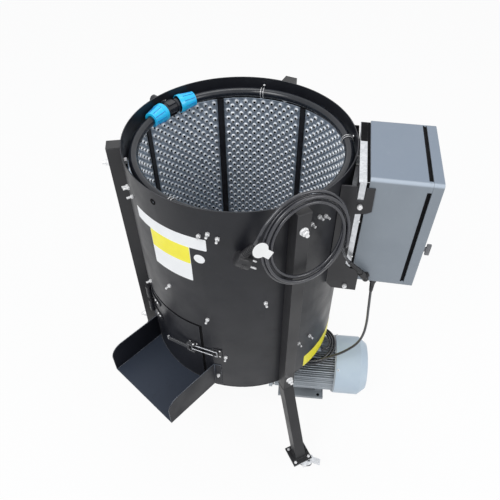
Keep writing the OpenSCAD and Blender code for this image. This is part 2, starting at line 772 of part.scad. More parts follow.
module caster_wheel(i) {
    color([0.25, 0.25, 0.26]) caster_at(i) translate([trail, wheel_w / 2, wheel_r]) rotate([90, 0, 0])
        rotate_extrude($fn = 96) polygon([[axle_d / 2 + fit_gap, 0], [wheel_r - 6, 0], [wheel_r - 5, 2],
            [wheel_r - 2, 2], [wheel_r, 5], [wheel_r, wheel_w - 5], [wheel_r - 2, wheel_w - 2],
            [wheel_r - 5, wheel_w - 2], [wheel_r - 6, wheel_w], [axle_d / 2 + fit_gap, wheel_w]]);
}
module caster_brake(i) {
    half = cheek_in - face_gap;
    to_wheel = atan2(wheel_r - brake_z, trail - brake_x);
    color([0.75, 0.2, 0.15]) caster_at(i) translate([brake_x, 0, brake_z]) difference() {
        union() {
            rotate([90, 0, 0]) cylinder(d = brake_boss_d, h = 2 * half, center = true);
            rotate([0, -to_wheel - brake_angle, 0]) {
                translate([0, -half + 0.3, -0.8 * brake_tip_r])
                    cube([brake_finger, 2 * half - 0.6, 1.6 * brake_tip_r]);
                translate([brake_finger, 0, 0]) rotate([90, 0, 0])
                    cylinder(r = brake_tip_r, h = 2 * half - 1, center = true, $fn = 16);
            }
            rotate([0, 12, 0]) translate([0, -half + 0.2, brake_boss_d / 2 - 3.4])
                cube([brake_toe, 2 * half - 0.4, 3]);
        }
        rotate([90, 0, 0]) cylinder(r = brake_pin_d / 2 + fit_gap, h = 2 * half + 2 * eps, center = true);
    }
}

// Drive
module rotor_disc() {
    color([0.3, 0.3, 0.32]) {
        difference() {
            union() {
                translate([0, 0, disc_low]) cylinder(d = disc_d, h = disc_t, $fn = 180);
                translate([0, 0, disc_low]) cylinder(d = hub_d, h = disc_t + rib_h);
                for (k = [0:rib_count - 1]) rotate([0, 0, k * 360 / rib_count])
                    translate([hub_d / 2 - 4, -rib_w / 2, disc_low])
                        cube([disc_d / 2 - hub_d / 2 - 6, rib_w, disc_t + rib_h]);
            }
            translate([0, 0, disc_low - eps])
                cylinder(r = shaft_d / 2 + fit_gap, h = disc_t + rib_h + 2 * eps);
        }
    }
}
module rotor_shaft() {
    color("lightgray") {
        translate([0, 0, motor_z - gear_half - 6])
            cylinder(d = shaft_d, h = disc_low + disc_t + rib_h - motor_z + gear_half + 8);
        translate([0, 0, disc_low + disc_t + rib_h + face_gap]) cylinder(d = shaft_d + 20, h = 8);
    }
}
module worm_wheel() {
    color("goldenrod") translate([0, 0, motor_z - gear_half]) difference() {
        cylinder(r = wheel_gear_r, h = 2 * gear_half);
        translate([0, 0, -eps]) cylinder(r = shaft_d / 2 + fit_gap, h = 2 * gear_half + 2 * eps);
    }
}
module shaft_bearing() {
    color("dimgray") translate([0, 0, drum_z - bearing_h]) difference() {
        union() {
            cylinder(d = bearing_d * 0.7, h = bearing_h);
            translate([0, 0, bearing_h - 10]) cylinder(d = bearing_d, h = 10);
        }
        translate([0, 0, -eps]) cylinder(r = shaft_d / 2 + fit_gap, h = bearing_h + 2 * eps);
    }
}
module gearbox_housing() {
    color("silver") difference() {
        union() {
            translate([0, 0, box_low]) cylinder(r = chamber_r + 14, h = box_top - box_low);
            motor_at() translate([-72, -tunnel_r - 16, -tunnel_r - 16])
                cube([72 + motor_face, 2 * tunnel_r + 32, 2 * tunnel_r + 32]);
            translate([0, 0, box_top - 10]) cylinder(r = post_r + post_d / 2, h = 10);
        }
        translate([0, 0, box_low - eps])
            cylinder(r = chamber_r, h = motor_z + gear_half + 5 - box_low + eps);
        translate([0, 0, box_low]) cylinder(r = shaft_d / 2 + fit_gap, h = box_top - box_low + eps);
        motor_at() translate([-60, 0, 0]) rotate([0, 90, 0])
            cylinder(r = tunnel_r, h = 60 + motor_face + eps);
    }
}
module gearbox_cover() {
    color("silver") {
        translate([0, 0, box_low - 8]) cylinder(r = chamber_r + 12, h = 8 - face_gap / 2);
        translate([0, 0, box_low - 14]) cylinder(r = 32, h = 7);
    }
}
module gearbox_hanger() {
    ring_d = 2 * post_r + post_d + 10;
    color([0.18, 0.18, 0.19]) difference() {
        union() {
            translate([0, 0, box_top]) cylinder(d = ring_d, h = hanger_t);
            translate([0, 0, drum_z - hanger_t]) cylinder(d = ring_d, h = hanger_t);
            for (k = [0:3]) rotate([0, 0, 45 + 90 * k]) translate([post_r, 0, box_top])
                cylinder(d = post_d, h = drum_z - box_top);
        }
        translate([0, 0, box_top - eps])
            cylinder(d = bearing_d + 2 * face_gap, h = drum_z - box_top + 2 * eps);
    }
}
module motor_feet() {
    for (s = [-1, 1]) {
        translate([143, s * 66 - 20, -foot_drop]) cube([163, 40, 12]);
        for (x = [146, 276]) translate([x, s * 55 - 6, -foot_drop]) cube([24, 12, foot_drop - 45]);
    }
}
module motor_housing() {
    color([0.7, 0.74, 0.78]) motor_at() difference() {
        union() {
            translate([motor_face, 0, 0]) rotate([0, 90, 0]) cylinder(r = 100, h = flange_t - 8);
            translate([motor_face, 0, 0]) rotate([0, 90, 0])
                cylinder(r = tube_r, h = body_end - motor_face);
            for (k = [0:fin_count - 1]) rotate([(k + 0.5) * 360 / fin_count, 0, 0])
                translate([motor_face + flange_t, -fin_t / 2, tube_r - 3])
                    cube([body_end - 8 - motor_face - flange_t, fin_t, fin_r - tube_r + 3]);
            translate([body_end - 12, 0, 0]) rotate([0, 90, 0])
                cylinder(r = cover_r - cover_t - face_gap, h = 12);
            motor_feet();
        }
        translate([motor_face + flange_t, 0, 0]) rotate([0, 90, 0])
            cylinder(r = bore_r, h = body_end - 12 - motor_face - flange_t);
        translate([motor_face - eps, 0, 0]) rotate([0, 90, 0])
            cylinder(r = motor_shaft_d / 2 + fit_gap, h = body_end - motor_face + 2 * eps);
        terminal_block(face_gap);
    }
}
module motor_shaft() {
    color("lightgray") motor_at() {
        translate([-58, 0, 0]) rotate([0, 90, 0]) cylinder(d = motor_shaft_d, h = body_end + 45 + 58);
        translate([-45, 0, 0]) rotate([0, 90, 0]) cylinder(r = worm_r, h = 90);
        translate([motor_face + flange_t + 30, 0, 0]) rotate([0, 90, 0]) cylinder(r = core_r, h = 130);
    }
}
module motor_fan() {
    color([0.1, 0.1, 0.1]) motor_at() translate([body_end + 12, 0, 0]) difference() {
        union() {
            rotate([0, 90, 0]) cylinder(r = motor_shaft_d / 2 + 8, h = 30);
            rotate([0, 90, 0]) cylinder(r = fan_r, h = 3);
            for (k = [0:5]) rotate([60 * k, 0, 0]) translate([0, -1.5, 15]) cube([28, 3, fan_r - 17]);
        }
        translate([-eps, 0, 0]) rotate([0, 90, 0])
            cylinder(r = motor_shaft_d / 2 + fit_gap, h = 30 + 2 * eps);
    }
}
module fan_cover() {
    chamfer = 26;
    wall = [[cover_r, 0], [cover_r, cover_l - chamfer], [cover_r - chamfer * 0.8, cover_l], [0, cover_l],
        [0, cover_l - cover_t], [cover_r - chamfer * 0.8 - cover_t, cover_l - cover_t],
        [cover_r - cover_t, cover_l - chamfer - cover_t], [cover_r - cover_t, 0]];
    color([0.72, 0.77, 0.83]) motor_at() translate([body_end - 8, 0, 0]) rotate([0, 90, 0]) difference() {
        rotate_extrude($fn = 120) polygon(wall);
        for (k = [0:11]) rotate([0, 0, 30 * k]) translate([22, -4, cover_l - 6]) cube([36, 8, 12]);
    }
}
module terminal_block(grow) {
    corner = [terminal_end - terminal_l, terminal_shift - terminal_w / 2, tube_r + face_gap];
    translate(corner - [grow, grow, grow])
        cube([terminal_l + 2 * grow, terminal_w + 2 * grow, terminal_h + grow]);
}
module terminal_box() {
    color([0.68, 0.72, 0.76]) motor_at() {
        terminal_block(0);
        translate([terminal_end, inlet_y, loop_height(inlet_y) - motor_z]) rotate([0, 90, 0]) {
            hex_nut(gland_d, 8);
            cylinder(d = gland_d - 4, h = inlet_x - terminal_end);
        }
    }
}

// Discharge door, hinges and latch
module hinge_knuckle(z, h) {
    rotate([0, 0, hinge_az]) translate([hinge_r, 0, z]) cylinder(d = hinge_d, h = h);
}
module hinge_bore() {
    rotate([0, 0, hinge_az]) translate([hinge_r, 0, door_low])
        cylinder(r = hinge_pin_d / 2 + fit_gap, h = door_top - door_low + 60);
}
module discharge_door() {
    strap_r = shell_r + face_gap + 0.2;
    color([0.13, 0.13, 0.15]) difference() {
        union() {
            arc_sheet(shell_in, shell_r, door_low, door_top, door_az, door_span);
            for (z = hinge_z) {
                arc_sheet(shell_r - 0.5, strap_r + 1, z - 6, z + 6, door_az + 2, strap_angle - 3);
                arc_sheet(strap_r, strap_r + strap_t, z - knuckle_h / 2, z + knuckle_h / 2,
                    hinge_az + 0.5, door_az - hinge_az + strap_angle - 0.5);
                hinge_knuckle(z - knuckle_h / 2, knuckle_h);
            }
        }
        hinge_bore();
    }
}
module hinge_brackets() {
    leaf_r = shell_r + face_gap;
    leaf_half = knuckle_h * 1.5 + face_gap - 0.5;
    color([0.12, 0.12, 0.13]) for (z = hinge_z) {
        hinge_knuckle(z - knuckle_h * 1.5 - face_gap, knuckle_h);
        hinge_knuckle(z + knuckle_h / 2 + face_gap, knuckle_h);
        difference() {
            arc_sheet(leaf_r, leaf_r + strap_t, z - leaf_half, z + leaf_half, hinge_az - 6, 5.5);
            arc_sheet(leaf_r - eps, leaf_r + strap_t + eps,
                z - knuckle_h / 2 - face_gap, z + knuckle_h / 2 + face_gap, hinge_az - 2.8, 4);
        }
        rotate([0, 0, hinge_az]) translate([hinge_r, 0, z - knuckle_h * 1.5 - face_gap - 3])
            cylinder(d = hinge_pin_d, h = knuckle_h * 3 + 2 * face_gap + 6);
    }
}
module latch_base() {
    color("silver") latch_at() {
        translate([-latch_plate_w + 14, -latch_plate_t - face_gap, -latch_plate_h / 2])
            cube([latch_plate_w, latch_plate_t, latch_plate_h]);
        for (s = [-1, 1]) translate([0, -latch_pivot, s * (latch_ear_in + latch_ear_t / 2)]) difference() {
            translate([-5, -5, -latch_ear_t / 2]) cube([10, latch_pivot + 5 - face_gap, latch_ear_t]);
            cylinder(d = latch_pin_d + 2 * fit_gap, h = latch_ear_t + 2 * eps, center = true);
        }
    }
}
module latch_lever() {
    inner = latch_ear_in - face_gap;
    color("gainsboro") latch_at() translate([0, -latch_pivot, 0]) difference() {
        union() {
            cylinder(d = latch_pin_d, h = 2 * (latch_ear_in + latch_ear_t + 1), center = true);
            for (s = [-1, 1])
                translate([bail_x - 12, -lever_t - 2, s * (inner - cheek_w / 2) - cheek_w / 2])
                cube([-bail_x + 16, lever_t + 7, cheek_w]);
            translate([-lever_l, -lever_t - 2, -7]) cube([lever_l + bail_x - 8, lever_t, 14]);
            translate([bail_x - 12, -lever_t - 2, -inner]) cube([5, lever_t, 2 * inner]);
        }
        translate([bail_x, bail_y, 0])
            cylinder(r = bail_wire / 2 + fit_gap, h = 3 * latch_ear_in, center = true);
        cylinder(d = latch_pin_d + 6, h = 2 * (inner - cheek_w), center = true);
    }
}
module latch_bail() {
    color("gainsboro") latch_at() translate([bail_x, -latch_pivot + bail_y, 0]) rotate([0, 0, bail_lean]) {
        cylinder(d = bail_wire, h = 2 * (latch_ear_in - face_gap), center = true);
        for (s = [-1, 1]) translate([0, 0, s * bail_half]) {
            rotate([0, 90, 0]) cylinder(d = bail_wire, h = bail_l);
            translate([bail_l, 0, 0]) sphere(d = bail_wire);
        }
        translate([bail_l, 0, 0]) cylinder(d = bail_wire, h = 2 * bail_half, center = true);
    }
}
module latch_catch() {
    color([0.1, 0.1, 0.11]) rotate([0, 0, catch_az]) {
        translate([shell_r + face_gap, -5, latch_z - 20]) cube([2, 5 + catch_side, 40]);
        translate([shell_r + face_gap, -catch_t / 2, latch_z - catch_w / 2])
            cube([catch_h, catch_t, catch_w]);
    }
}
module chute_wall() {
    u0 = shell_r * 0.85;
    translate([u0, chute_z - chute_t]) square([chute_reach - wall_round - u0, wall_h + chute_t]);
    translate([u0, chute_z - chute_t]) square([chute_reach - u0, wall_h + chute_t - wall_round]);
    translate([chute_reach - wall_round, wall_top - wall_round]) circle(wall_round);
}
module chute() {
    flange_r = shell_r + face_gap;
    color([0.12, 0.13, 0.16]) difference() {
        chute_sheet(flange_r);
        for (s = chute_spots) radial_at(s[0], flange_r - 5, s[1])
            cylinder(d = chute_bolt_d + 2 * hole_gap, h = 20);
    }
}
module chute_sheet(flange_r) {
    union() {
        rotate([0, 0, chute_az]) difference() {
            union() {
                translate([shell_r * 0.7, -chute_w / 2, chute_z - chute_t])
                    cube([chute_reach - shell_r * 0.7, chute_w, chute_t]);
                for (s = [-1, 1]) translate([0, s * (chute_w / 2 - chute_t / 2) + chute_t / 2, 0])
                    rotate([90, 0, 0]) linear_extrude(chute_t) chute_wall();
            }
            translate([0, 0, drum_z - 10]) cylinder(r = flange_r, h = wall_h + 60, $fn = 180);
        }
        for (s = [-1, 1]) arc_sheet(flange_r, flange_r + chute_t, chute_z - chute_t, wall_top,
            chute_az + s * chute_edge - (s < 0 ? flange_angle : 0.4), flange_angle + 0.4);
    }
}

// Water ring
module ring_center() { rotate([0, 0, tee_az]) translate([-ring_shift, 0, ring_z]) children(); }
module pipe_sweep(d, from) {
    rotate([0, 0, from]) rotate_extrude(angle = 360 - 2 * from, $fn = 180) translate([ring_r, 0])
        circle(d = d, $fn = 32);
}
module water_ring() {
    color([0.09, 0.09, 0.1]) ring_center() difference() {
        pipe_sweep(pipe_d, pipe_start);
        pipe_sweep(pipe_d - 2 * pipe_t, pipe_start - 1);
    }
}
module water_tee() {
    reach = shell_r - tee_dist + inlet_l;
    color([0.07, 0.07, 0.08]) rotate([0, 0, tee_az]) translate([tee_dist, 0, ring_z]) difference() {
        union() {
            rotate([90, 0, 0]) cylinder(r = tee_r, h = 2 * tee_half, center = true);
            rotate([0, 90, 0]) cylinder(d = pipe_d - 1, h = reach);
            translate([reach - inlet_l + inlet_gap, 0, 0]) rotate([0, 90, 0])
                cylinder(d = inlet_d, h = inlet_l - inlet_gap);
        }
        rotate([90, 0, 0]) cylinder(d = pipe_d - 2 * pipe_t, h = 2 * tee_half + 2 * eps, center = true);
        rotate([0, 90, 0]) cylinder(d = pipe_d - 2 * pipe_t, h = reach + eps);
    }
}
module tee_nuts() {
    color([0.05, 0.5, 0.9]) ring_center() difference() {
        for (s = [-1, 1]) rotate([0, 0, s * nut_turn]) translate([ring_r, 0, 0]) rotate([-90 * s, 0, 0]) {
            translate([0, 0, -nut_l / 2]) cylinder(d = nut_d, h = 12);
            translate([0, 0, -nut_l / 2 + 12]) cylinder(d1 = nut_d - 3, d2 = nut_small_d, h = nut_l - 12);
        }
        pipe_sweep(pipe_d + 2 * face_gap, 2);
    }
}
module pipe_clips() {
    grip_r = pipe_d / 2 + face_gap;
    color("silver") for (a = clip_az) rotate([0, 0, a]) {
        translate([ring_at(a), clip_w / 2, ring_z]) rotate([90, 0, 0])
            ring_solid(grip_r, grip_r + clip_t, clip_w);
        translate([ring_at(a) + grip_r + clip_t / 2, -clip_w / 2, ring_z - 2])
            cube([shell_in - face_gap - ring_at(a) - grip_r - clip_t / 2, clip_w, 4]);
        translate([shell_in - face_gap - 2, -clip_w / 2, ring_z - 2]) cube([1.8, clip_w, 22]);
    }
}

// Control box
module box_body() {
    color([0.55, 0.57, 0.6]) box_at() {
        difference() {
            box_slab(box_back, box_front, 0, box_round);
            box_slab(box_back + box_t, box_front + eps, box_t, box_round - box_t);
            translate([motor_gland[0], motor_gland[1], box_low_z - eps])
                cylinder(d = gland_d - 4 + 2 * hole_gap, h = box_t + 2 * eps);
            translate([mains_gland[0], box_near - eps, mains_gland[1]]) rotate([-90, 0, 0])
                cylinder(d = gland_d - 4 + 2 * hole_gap, h = box_t + 2 * eps);
        }
        translate([box_front - lip_back, box_near + box_t / 2, lock_z - 20]) cube([lip_t, lip_w, 40]);
        for (z = lid_hinge_z) {
            translate([lid_axis_x, lid_axis_y, z - lid_hinge_h / 2])
                cylinder(d = lid_pin_d, h = lid_hinge_h);
            translate([lid_axis_x, lid_axis_y, z - lid_hinge_h / 2])
                cylinder(d = lid_barrel_d, h = lid_hinge_h / 2 - face_gap);
            translate([lid_axis_x - 20, box_far - 0.5, z - lid_hinge_h / 2])
                cube([20, lid_axis_y - box_far + 2, lid_hinge_h / 2 - face_gap]);
        }
    }
}
module box_door() {
    color([0.57, 0.59, 0.62]) box_at() difference() {
        union() {
            difference() {
                box_slab(door_back, door_front, 0, box_round);
                box_slab(door_back - eps, door_front - box_t, box_t + 6, box_round);
            }
            for (z = lid_hinge_z) {
                translate([lid_axis_x, lid_axis_y, z + face_gap])
                    cylinder(d = lid_barrel_d, h = lid_hinge_h / 2);
                translate([lid_axis_x, box_far - 0.5, z + face_gap])
                    cube([10, lid_axis_y - box_far + 2, lid_hinge_h / 2]);
            }
            for (s = [-1, 1]) translate([door_front - box_t, box_shift + s * button_apart, button_z])
                rotate([0, 90, 0])
                cylinder(d = button_d + 8, h = box_t + 4);
        }
        for (z = lid_hinge_z) translate([lid_axis_x, lid_axis_y, z - lid_hinge_h / 2])
            cylinder(r = lid_pin_d / 2 + fit_gap, h = lid_hinge_h + 2);
        translate([door_back, lock_y, lock_z]) rotate([0, 90, 0])
            cylinder(r = lock_d / 2 + fit_gap, h = box_door_t + eps);
        translate([door_back, box_shift, knob_z]) rotate([0, 90, 0])
            cylinder(r = knob_shaft_d / 2 + fit_gap, h = box_door_t + eps);
        for (s = [-1, 1]) translate([door_back, box_shift + s * button_apart, button_z]) rotate([0, 90, 0])
            cylinder(r = button_d / 2 + fit_gap, h = box_door_t + 10);
    }
}
module box_gasket() {
    color([0.04, 0.04, 0.04]) box_at() difference() {
        box_slab(box_front, door_back - face_gap, 3, box_round - 3);
        box_slab(box_front - eps, door_back + eps, 10, box_round - 3);
    }
}
module box_lock() {
    cam_z = box_front - lip_back - 1 - cam_t - door_front;
    color("silver") box_at() translate([door_front, lock_y, lock_z]) rotate([0, 90, 0]) {
        translate([0, 0, cam_z]) cylinder(d = lock_d - 8, h = 1 - cam_z);
        translate([0, 0, -14]) cylinder(d = lock_d, h = 14 + face_gap);
        translate([0, 0, face_gap]) cylinder(d = lock_d + 6, h = 4);
        translate([0, 0, face_gap]) cylinder(d = lock_d - 8, h = 16);
        translate([-18, -3, 14]) cube([36, 6, 11]);
        translate([-cam_l, -5, cam_z]) cube([cam_l + 5, 10, cam_t]);
    }
}
module switch_knob() {
    color([0.1, 0.1, 0.1]) box_at() translate([door_front, box_shift, knob_z]) rotate([0, 90, 0]) {
        translate([0, 0, -12]) cylinder(d = knob_shaft_d, h = 12 + face_gap);
        translate([0, 0, face_gap]) cylinder(d = 46, h = 6);
        translate([0, 0, face_gap]) cylinder(d = 38, h = 14);
        translate([-17, -5, face_gap]) cube([34, 10, 24]);
    }
}
module push_button(side) {
    box_at() translate([door_front, box_shift + side * button_apart, button_z]) rotate([0, 90, 0]) {
        translate([0, 0, -10]) cylinder(d = button_d, h = 10 + 4 + button_travel + 2);
        translate([0, 0, -12]) cylinder(d = button_d + 4, h = 12 - box_t - face_gap);
    }
}
module start_button() { color([0.1, 0.6, 0.2]) push_button(-1); }
module stop_button() { color([0.8, 0.1, 0.1]) push_button(1); }
module bracket_outline(low_x) {
    edge = plate_edge_x;
    polygon([[low_x, plate_top_z], [edge - 6, plate_top_z], [edge - 1, notch_z], [ear_x + 6, notch_z],
        [ear_x + 8, arm_top_z], [box_back + arm_reach, arm_top_z],
        [box_back + arm_reach + 2, arm_low_z], [box_back + 5, arm_low_z - 8],
        [edge, waist_top_z], [edge, waist_low_z], [ear_x + 4, heel_top_z + 3],
        [box_back + heel_reach - 1, heel_top_z], [box_back + heel_reach, heel_low_z],
        [low_x + heel_cut[0], heel_low_z], [low_x, heel_low_z + heel_cut[1]]]);
}
module box_bracket(y0, reach_y) {
    low_x = sqrt(pow(shell_r, 2) - pow(reach_y, 2)) + face_gap;
    difference() {
        translate([0, y0 + plate_t, 0]) rotate([90, 0, 0]) linear_extrude(plate_t) bracket_outline(low_x);
        for (z = ear_z) translate([ear_x, y0 - eps, z]) rotate([-90, 0, 0])
            cylinder(d = ear_bolt_d + 2 * hole_gap, h = plate_t + 2 * eps);
    }
}
module box_brackets() {
    color([0.12, 0.12, 0.13]) box_at() {
        box_bracket(box_near - face_gap - plate_t, box_near - face_gap);
        box_bracket(box_far + face_gap, box_far + face_gap);
    }
}
module box_hanger() {
    low = ear_z[1] - 16;
    top = box_top_z - 10;
    front = box_back - face_gap;
    edge = ear_x - 9;
    color("silver") box_at() {
        translate([front - hanger_plate, box_near, low]) cube([hanger_plate, box_w, top - low]);
        translate([edge - 3, box_near, top - ear_t]) cube([front - edge + 3, box_w, ear_t]);
        for (y = [box_near, box_far - ear_t]) difference() {
            translate([edge, y, low]) cube([front - edge, ear_t, top - low]);
            for (z = ear_z) translate([ear_x, y - eps, z]) rotate([-90, 0, 0])
                cylinder(d = ear_bolt_d + 2 * hole_gap, h = ear_t + 2 * eps);
        }
    }
}
module gland_body(h) {
    translate([0, 0, -6]) cylinder(d = gland_d - 4, h = 6 + h);
    hex_nut(gland_d * 1.25, 6);
    translate([0, 0, 8]) hex_nut(gland_d * 1.1, 12);
}
module cable_glands() {
    color([0.1, 0.1, 0.11]) box_at() {
        translate([motor_gland[0], motor_gland[1], box_low_z - face_gap / 2]) rotate([180, 0, 0])
            gland_body(gland_l - face_gap / 2);
        translate([mains_gland[0], box_near - face_gap / 2, mains_gland[1]]) rotate([90, 0, 0]) {
            translate([0, 0, -6]) cylinder(d = gland_d - 4, h = elbow_out + 6);
            hex_nut(gland_d * 1.25, 5);
        }
        translate([mains_gland[0], box_near - elbow_out, mains_gland[1]]) rotate([0, -elbow_lean, 0]) {
            sphere(d = gland_d - 1);
            cylinder(d = gland_d - 4, h = elbow_l);
            translate([0, 0, 12]) hex_nut(gland_d * 1.1, 14);
        }
    }
}
module contactor_plate() {
    floor_x = box_back + box_t + face_gap;
    color("lightgray") box_at() {
        translate([floor_x, box_near + back_plate_edge[0], box_low_z + back_plate_edge[1]])
            cube([back_plate_t, box_w - 2 * back_plate_edge[0], box_h - 2 * back_plate_edge[1]]);
        translate([floor_x + back_plate_t, box_near + rail_edge, button_z - rail_w / 2 + 0.5])
            cube([rail_t, box_w - 2 * rail_edge, rail_w]);
        translate([floor_x + back_plate_t + rail_t, box_shift + contactor_y, button_z - contactor[2] / 2])
            cube(contactor);
        translate([floor_x + back_plate_t + rail_t, box_shift + relay_y, button_z - relay[2] / 2])
            cube(relay);
    }
}

// Cords and what is on them
module mains_coil() { color([0.06, 0.06, 0.06]) tube(mains_path, cord_d, 6, coil_n); }
module mains_lead() { color([0.06, 0.06, 0.06]) tube(lead_path, cord_d, 8, coil_n); }
module mains_plug() {
    color([0.08, 0.08, 0.08]) translate(plug_pos) rotate(plug_lean) plug_solid();
}
module plug_solid() {
    translate([-16, 0, 0]) rotate([0, 90, 0]) cylinder(d = 36, h = 32);
    for (s = [-1, 1]) translate([14, s * 9.5, 0]) rotate([0, 90, 0]) cylinder(d = 4.8, h = 21);
    translate([neck_side, 0, 0]) cylinder(d1 = 20, d2 = cord_d + 3, h = plug_neck);
}
module cable_tag() {
    color("white") multmatrix([
        [coil_e1[0], coil_e2[0], coil_n[0], coil_center[0]],
        [coil_e1[1], coil_e2[1], coil_n[1], coil_center[1]],
        [coil_e1[2], coil_e2[2], coil_n[2], coil_center[2]],
        [0, 0, 0, 1]
    ]) translate([-118, 27, coil_layer + cord_d / 2 + face_gap]) linear_extrude(0.8) {
        circle(19);
        rotate(-45) translate([0, -10]) square([34, 20]);
    }
}
module motor_lead() { color([0.06, 0.06, 0.06]) tube(motor_lead_path, cord_d, 8, [0, 1, 0]); }
module motor_coil() { color([0.06, 0.06, 0.06]) tube(loop_path, cord_d, 6, [0, 0, 1]); }

drum_shell();
drum_base();
liner_panels();
liner_bars();
liner_studs();
for (i = [0:2]) leg(i);
leg_caps();
frame_bolts();
caster_plates();
for (i = [0:2]) caster_fork(i);
for (i = [0:2]) caster_wheel(i);
for (i = [0:2]) caster_brake(i);
rotor_disc();
rotor_shaft();
worm_wheel();
shaft_bearing();
gearbox_housing();
gearbox_cover();
gearbox_hanger();
motor_housing();
motor_shaft();
motor_fan();
fan_cover();
terminal_box();
discharge_door();
hinge_brackets();
latch_base();
latch_lever();
latch_bail();
latch_catch();
chute();
water_ring();
water_tee();
tee_nuts();
pipe_clips();
box_body();
box_door();
box_gasket();
box_lock();
switch_knob();
start_button();
stop_button();
box_brackets();
box_hanger();
cable_glands();
contactor_plate();
mains_coil();
mains_lead();
mains_plug();
cable_tag();
motor_lead();
motor_coil();
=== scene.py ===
import math

import bpy
from mathutils import Matrix, Vector


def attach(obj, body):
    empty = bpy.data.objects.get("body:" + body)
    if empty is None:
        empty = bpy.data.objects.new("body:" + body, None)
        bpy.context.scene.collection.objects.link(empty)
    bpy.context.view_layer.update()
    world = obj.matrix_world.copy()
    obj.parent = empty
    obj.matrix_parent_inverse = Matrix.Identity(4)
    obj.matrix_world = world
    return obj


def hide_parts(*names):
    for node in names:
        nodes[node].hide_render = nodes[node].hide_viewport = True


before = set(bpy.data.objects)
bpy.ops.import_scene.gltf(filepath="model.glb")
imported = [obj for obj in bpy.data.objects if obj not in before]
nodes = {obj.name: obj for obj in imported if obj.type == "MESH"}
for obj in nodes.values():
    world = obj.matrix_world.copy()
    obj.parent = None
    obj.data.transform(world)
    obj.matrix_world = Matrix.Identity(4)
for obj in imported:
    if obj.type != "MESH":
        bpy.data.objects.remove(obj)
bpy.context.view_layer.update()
scene = bpy.context.scene
scene.view_settings.view_transform = "Standard"
MM = 0.001

# Sizes and places of the CAD model, in millimetres and degrees
DRUM_R = 300
PANEL_R = 289
PANEL_TOP = 1043
PANEL_LOW = 425
SHORT_PANEL_LOW = 675
PANEL_COUNT = 7
FIRST_BAR_AZ = 152.4
RASP_PITCH = 27
RASP_EDGE = 11.5
RING_Z = 1072
RING_R = 276.25
RING_SHIFT = 6.25
TEE_AZ = 136
TEE_R = RING_R - RING_SHIFT
NUT_TURN = 11.06
CLIP_AZ = (2, 75, 235, 300)
LEG_AZ = {"left": 186, "front": -66, "back": 62}
TRAIL_AZ = {"left": 150, "front": -15, "back": 80}
LEG_R = 317.8
TUBE_HALF = 17.5
SPLAY = math.radians(23)
KNEE_Z = 360
FOOT_TOP = 80
FOOT_R = 436.65
HINGE_Z = (632, 568)
LATCH_AZ = -119
LATCH_Z = 548
MOTOR_AZ = -7.2
MOTOR_Y = -90
MOTOR_Z = 215
BOX_AZ = -11
BOX_Y = -12
BOX_Z = 933
BOX_HALF_W = 127.5
BOX_HALF_H = 175
BOX_TOP = BOX_Z + BOX_HALF_H
BOX_FACE = 494
KNOB_Z = 998
BUTTON_Z = 918
START_Y = -48
STOP_Y = 24
CORD_D = 0.008


# Places in the row frame
def turn(az, p):
    c = math.cos(math.radians(az))
    s = math.sin(math.radians(az))
    return Vector((p[0] * c - p[1] * s, p[0] * s + p[1] * c, p[2]))


def motor_pt(x, y, z):
    return turn(MOTOR_AZ, (x, y, z))


def box_pt(x, y, z):
    return turn(BOX_AZ, (x, y, z))


def drum_pt(az, r, z):
    return turn(az, (r, 0, z))


def axes(origin, z_dir, x_hint=(0, 0, 1)):
    z = Vector(z_dir).normalized()
    y = z.cross(Vector(x_hint))
    if y.length < 1e-6:
        y = z.cross(Vector((1, 0, 0)))
    y.normalize()
    x = y.cross(z)
    m = Matrix((x, y, z)).transposed().to_4x4()
    m.translation = Vector(origin)
    return m


def on_drum(az, z, r=DRUM_R):
    return axes(drum_pt(az, r, z), turn(az, (1, 0, 0)))


def on_motor(origin, z_dir):
    return axes(motor_pt(*origin), motor_pt(*z_dir))


def on_box(origin, z_dir):
    return axes(box_pt(*origin), box_pt(*z_dir))


def on_face(y, z):
    return on_box((BOX_FACE, y, z), (1, 0, 0))


def in_drum(az, z, r):
    return axes(drum_pt(az, r, z), turn(az, (-1, 0, 0)))


def around(place, count, r):
    spins = [place @ Matrix.Rotation(2 * math.pi * k / count, 4, "Z") for k in range(count)]
    return [spin @ Matrix.Translation((r, 0, 0)) for spin in spins]


def put(name, data):
    ob = bpy.data.objects.new(name, data)
    scene.collection.objects.link(ob)
    return ob


# Camera at the photo's view
def add_camera():
    data = bpy.data.cameras.new("camera")
    data.sensor_fit = "HORIZONTAL"
    data.sensor_width = 36
    data.sensor_height = 36
    data.lens = 36.713
    data.clip_end = 60
    ob = put("camera", data)
    yaw = 0.022
    pitch = -0.802
    roll = -0.007
    level = Vector((math.sin(yaw), math.cos(yaw), 0))
    ahead = math.cos(pitch) * level + Vector((0, 0, math.sin(pitch)))
    side = ahead.cross(Vector((0, 0, 1))).normalized()
    lift = side.cross(ahead)
    right = math.cos(roll) * side + math.sin(roll) * lift
    up = math.cos(roll) * lift - math.sin(roll) * side
    m = Matrix((right, up, -ahead)).transposed().to_4x4()
    m.translation = Vector((0, -1.1134, 1.8301))
    ob.matrix_world = m
    scene.camera = ob


add_camera()


# Cord routes
def slope(p, i):
    if i == 0:
        return p[1] - p[0]
    if i == len(p) - 1:
        return p[i] - p[i - 1]
    return (p[i + 1] - p[i - 1]) / 2


def smooth(points, steps):
    p = [Vector(q) for q in points]
    out = []
    for i in range(len(p) - 1):
        a = p[i]
        b = p[i] + slope(p, i) / 3
        c = p[i + 1] - slope(p, i + 1) / 3
        d = p[i + 1]
        for k in range(steps):
            t = k / steps
            s = 1 - t
            out.append(s ** 3 * a + 3 * t * s ** 2 * b + 3 * t * t * s * c + t ** 3 * d)
    out.append(p[-1])
    return out


def path_length(path):
    return sum((b - a).length for a, b in zip(path, path[1:]))


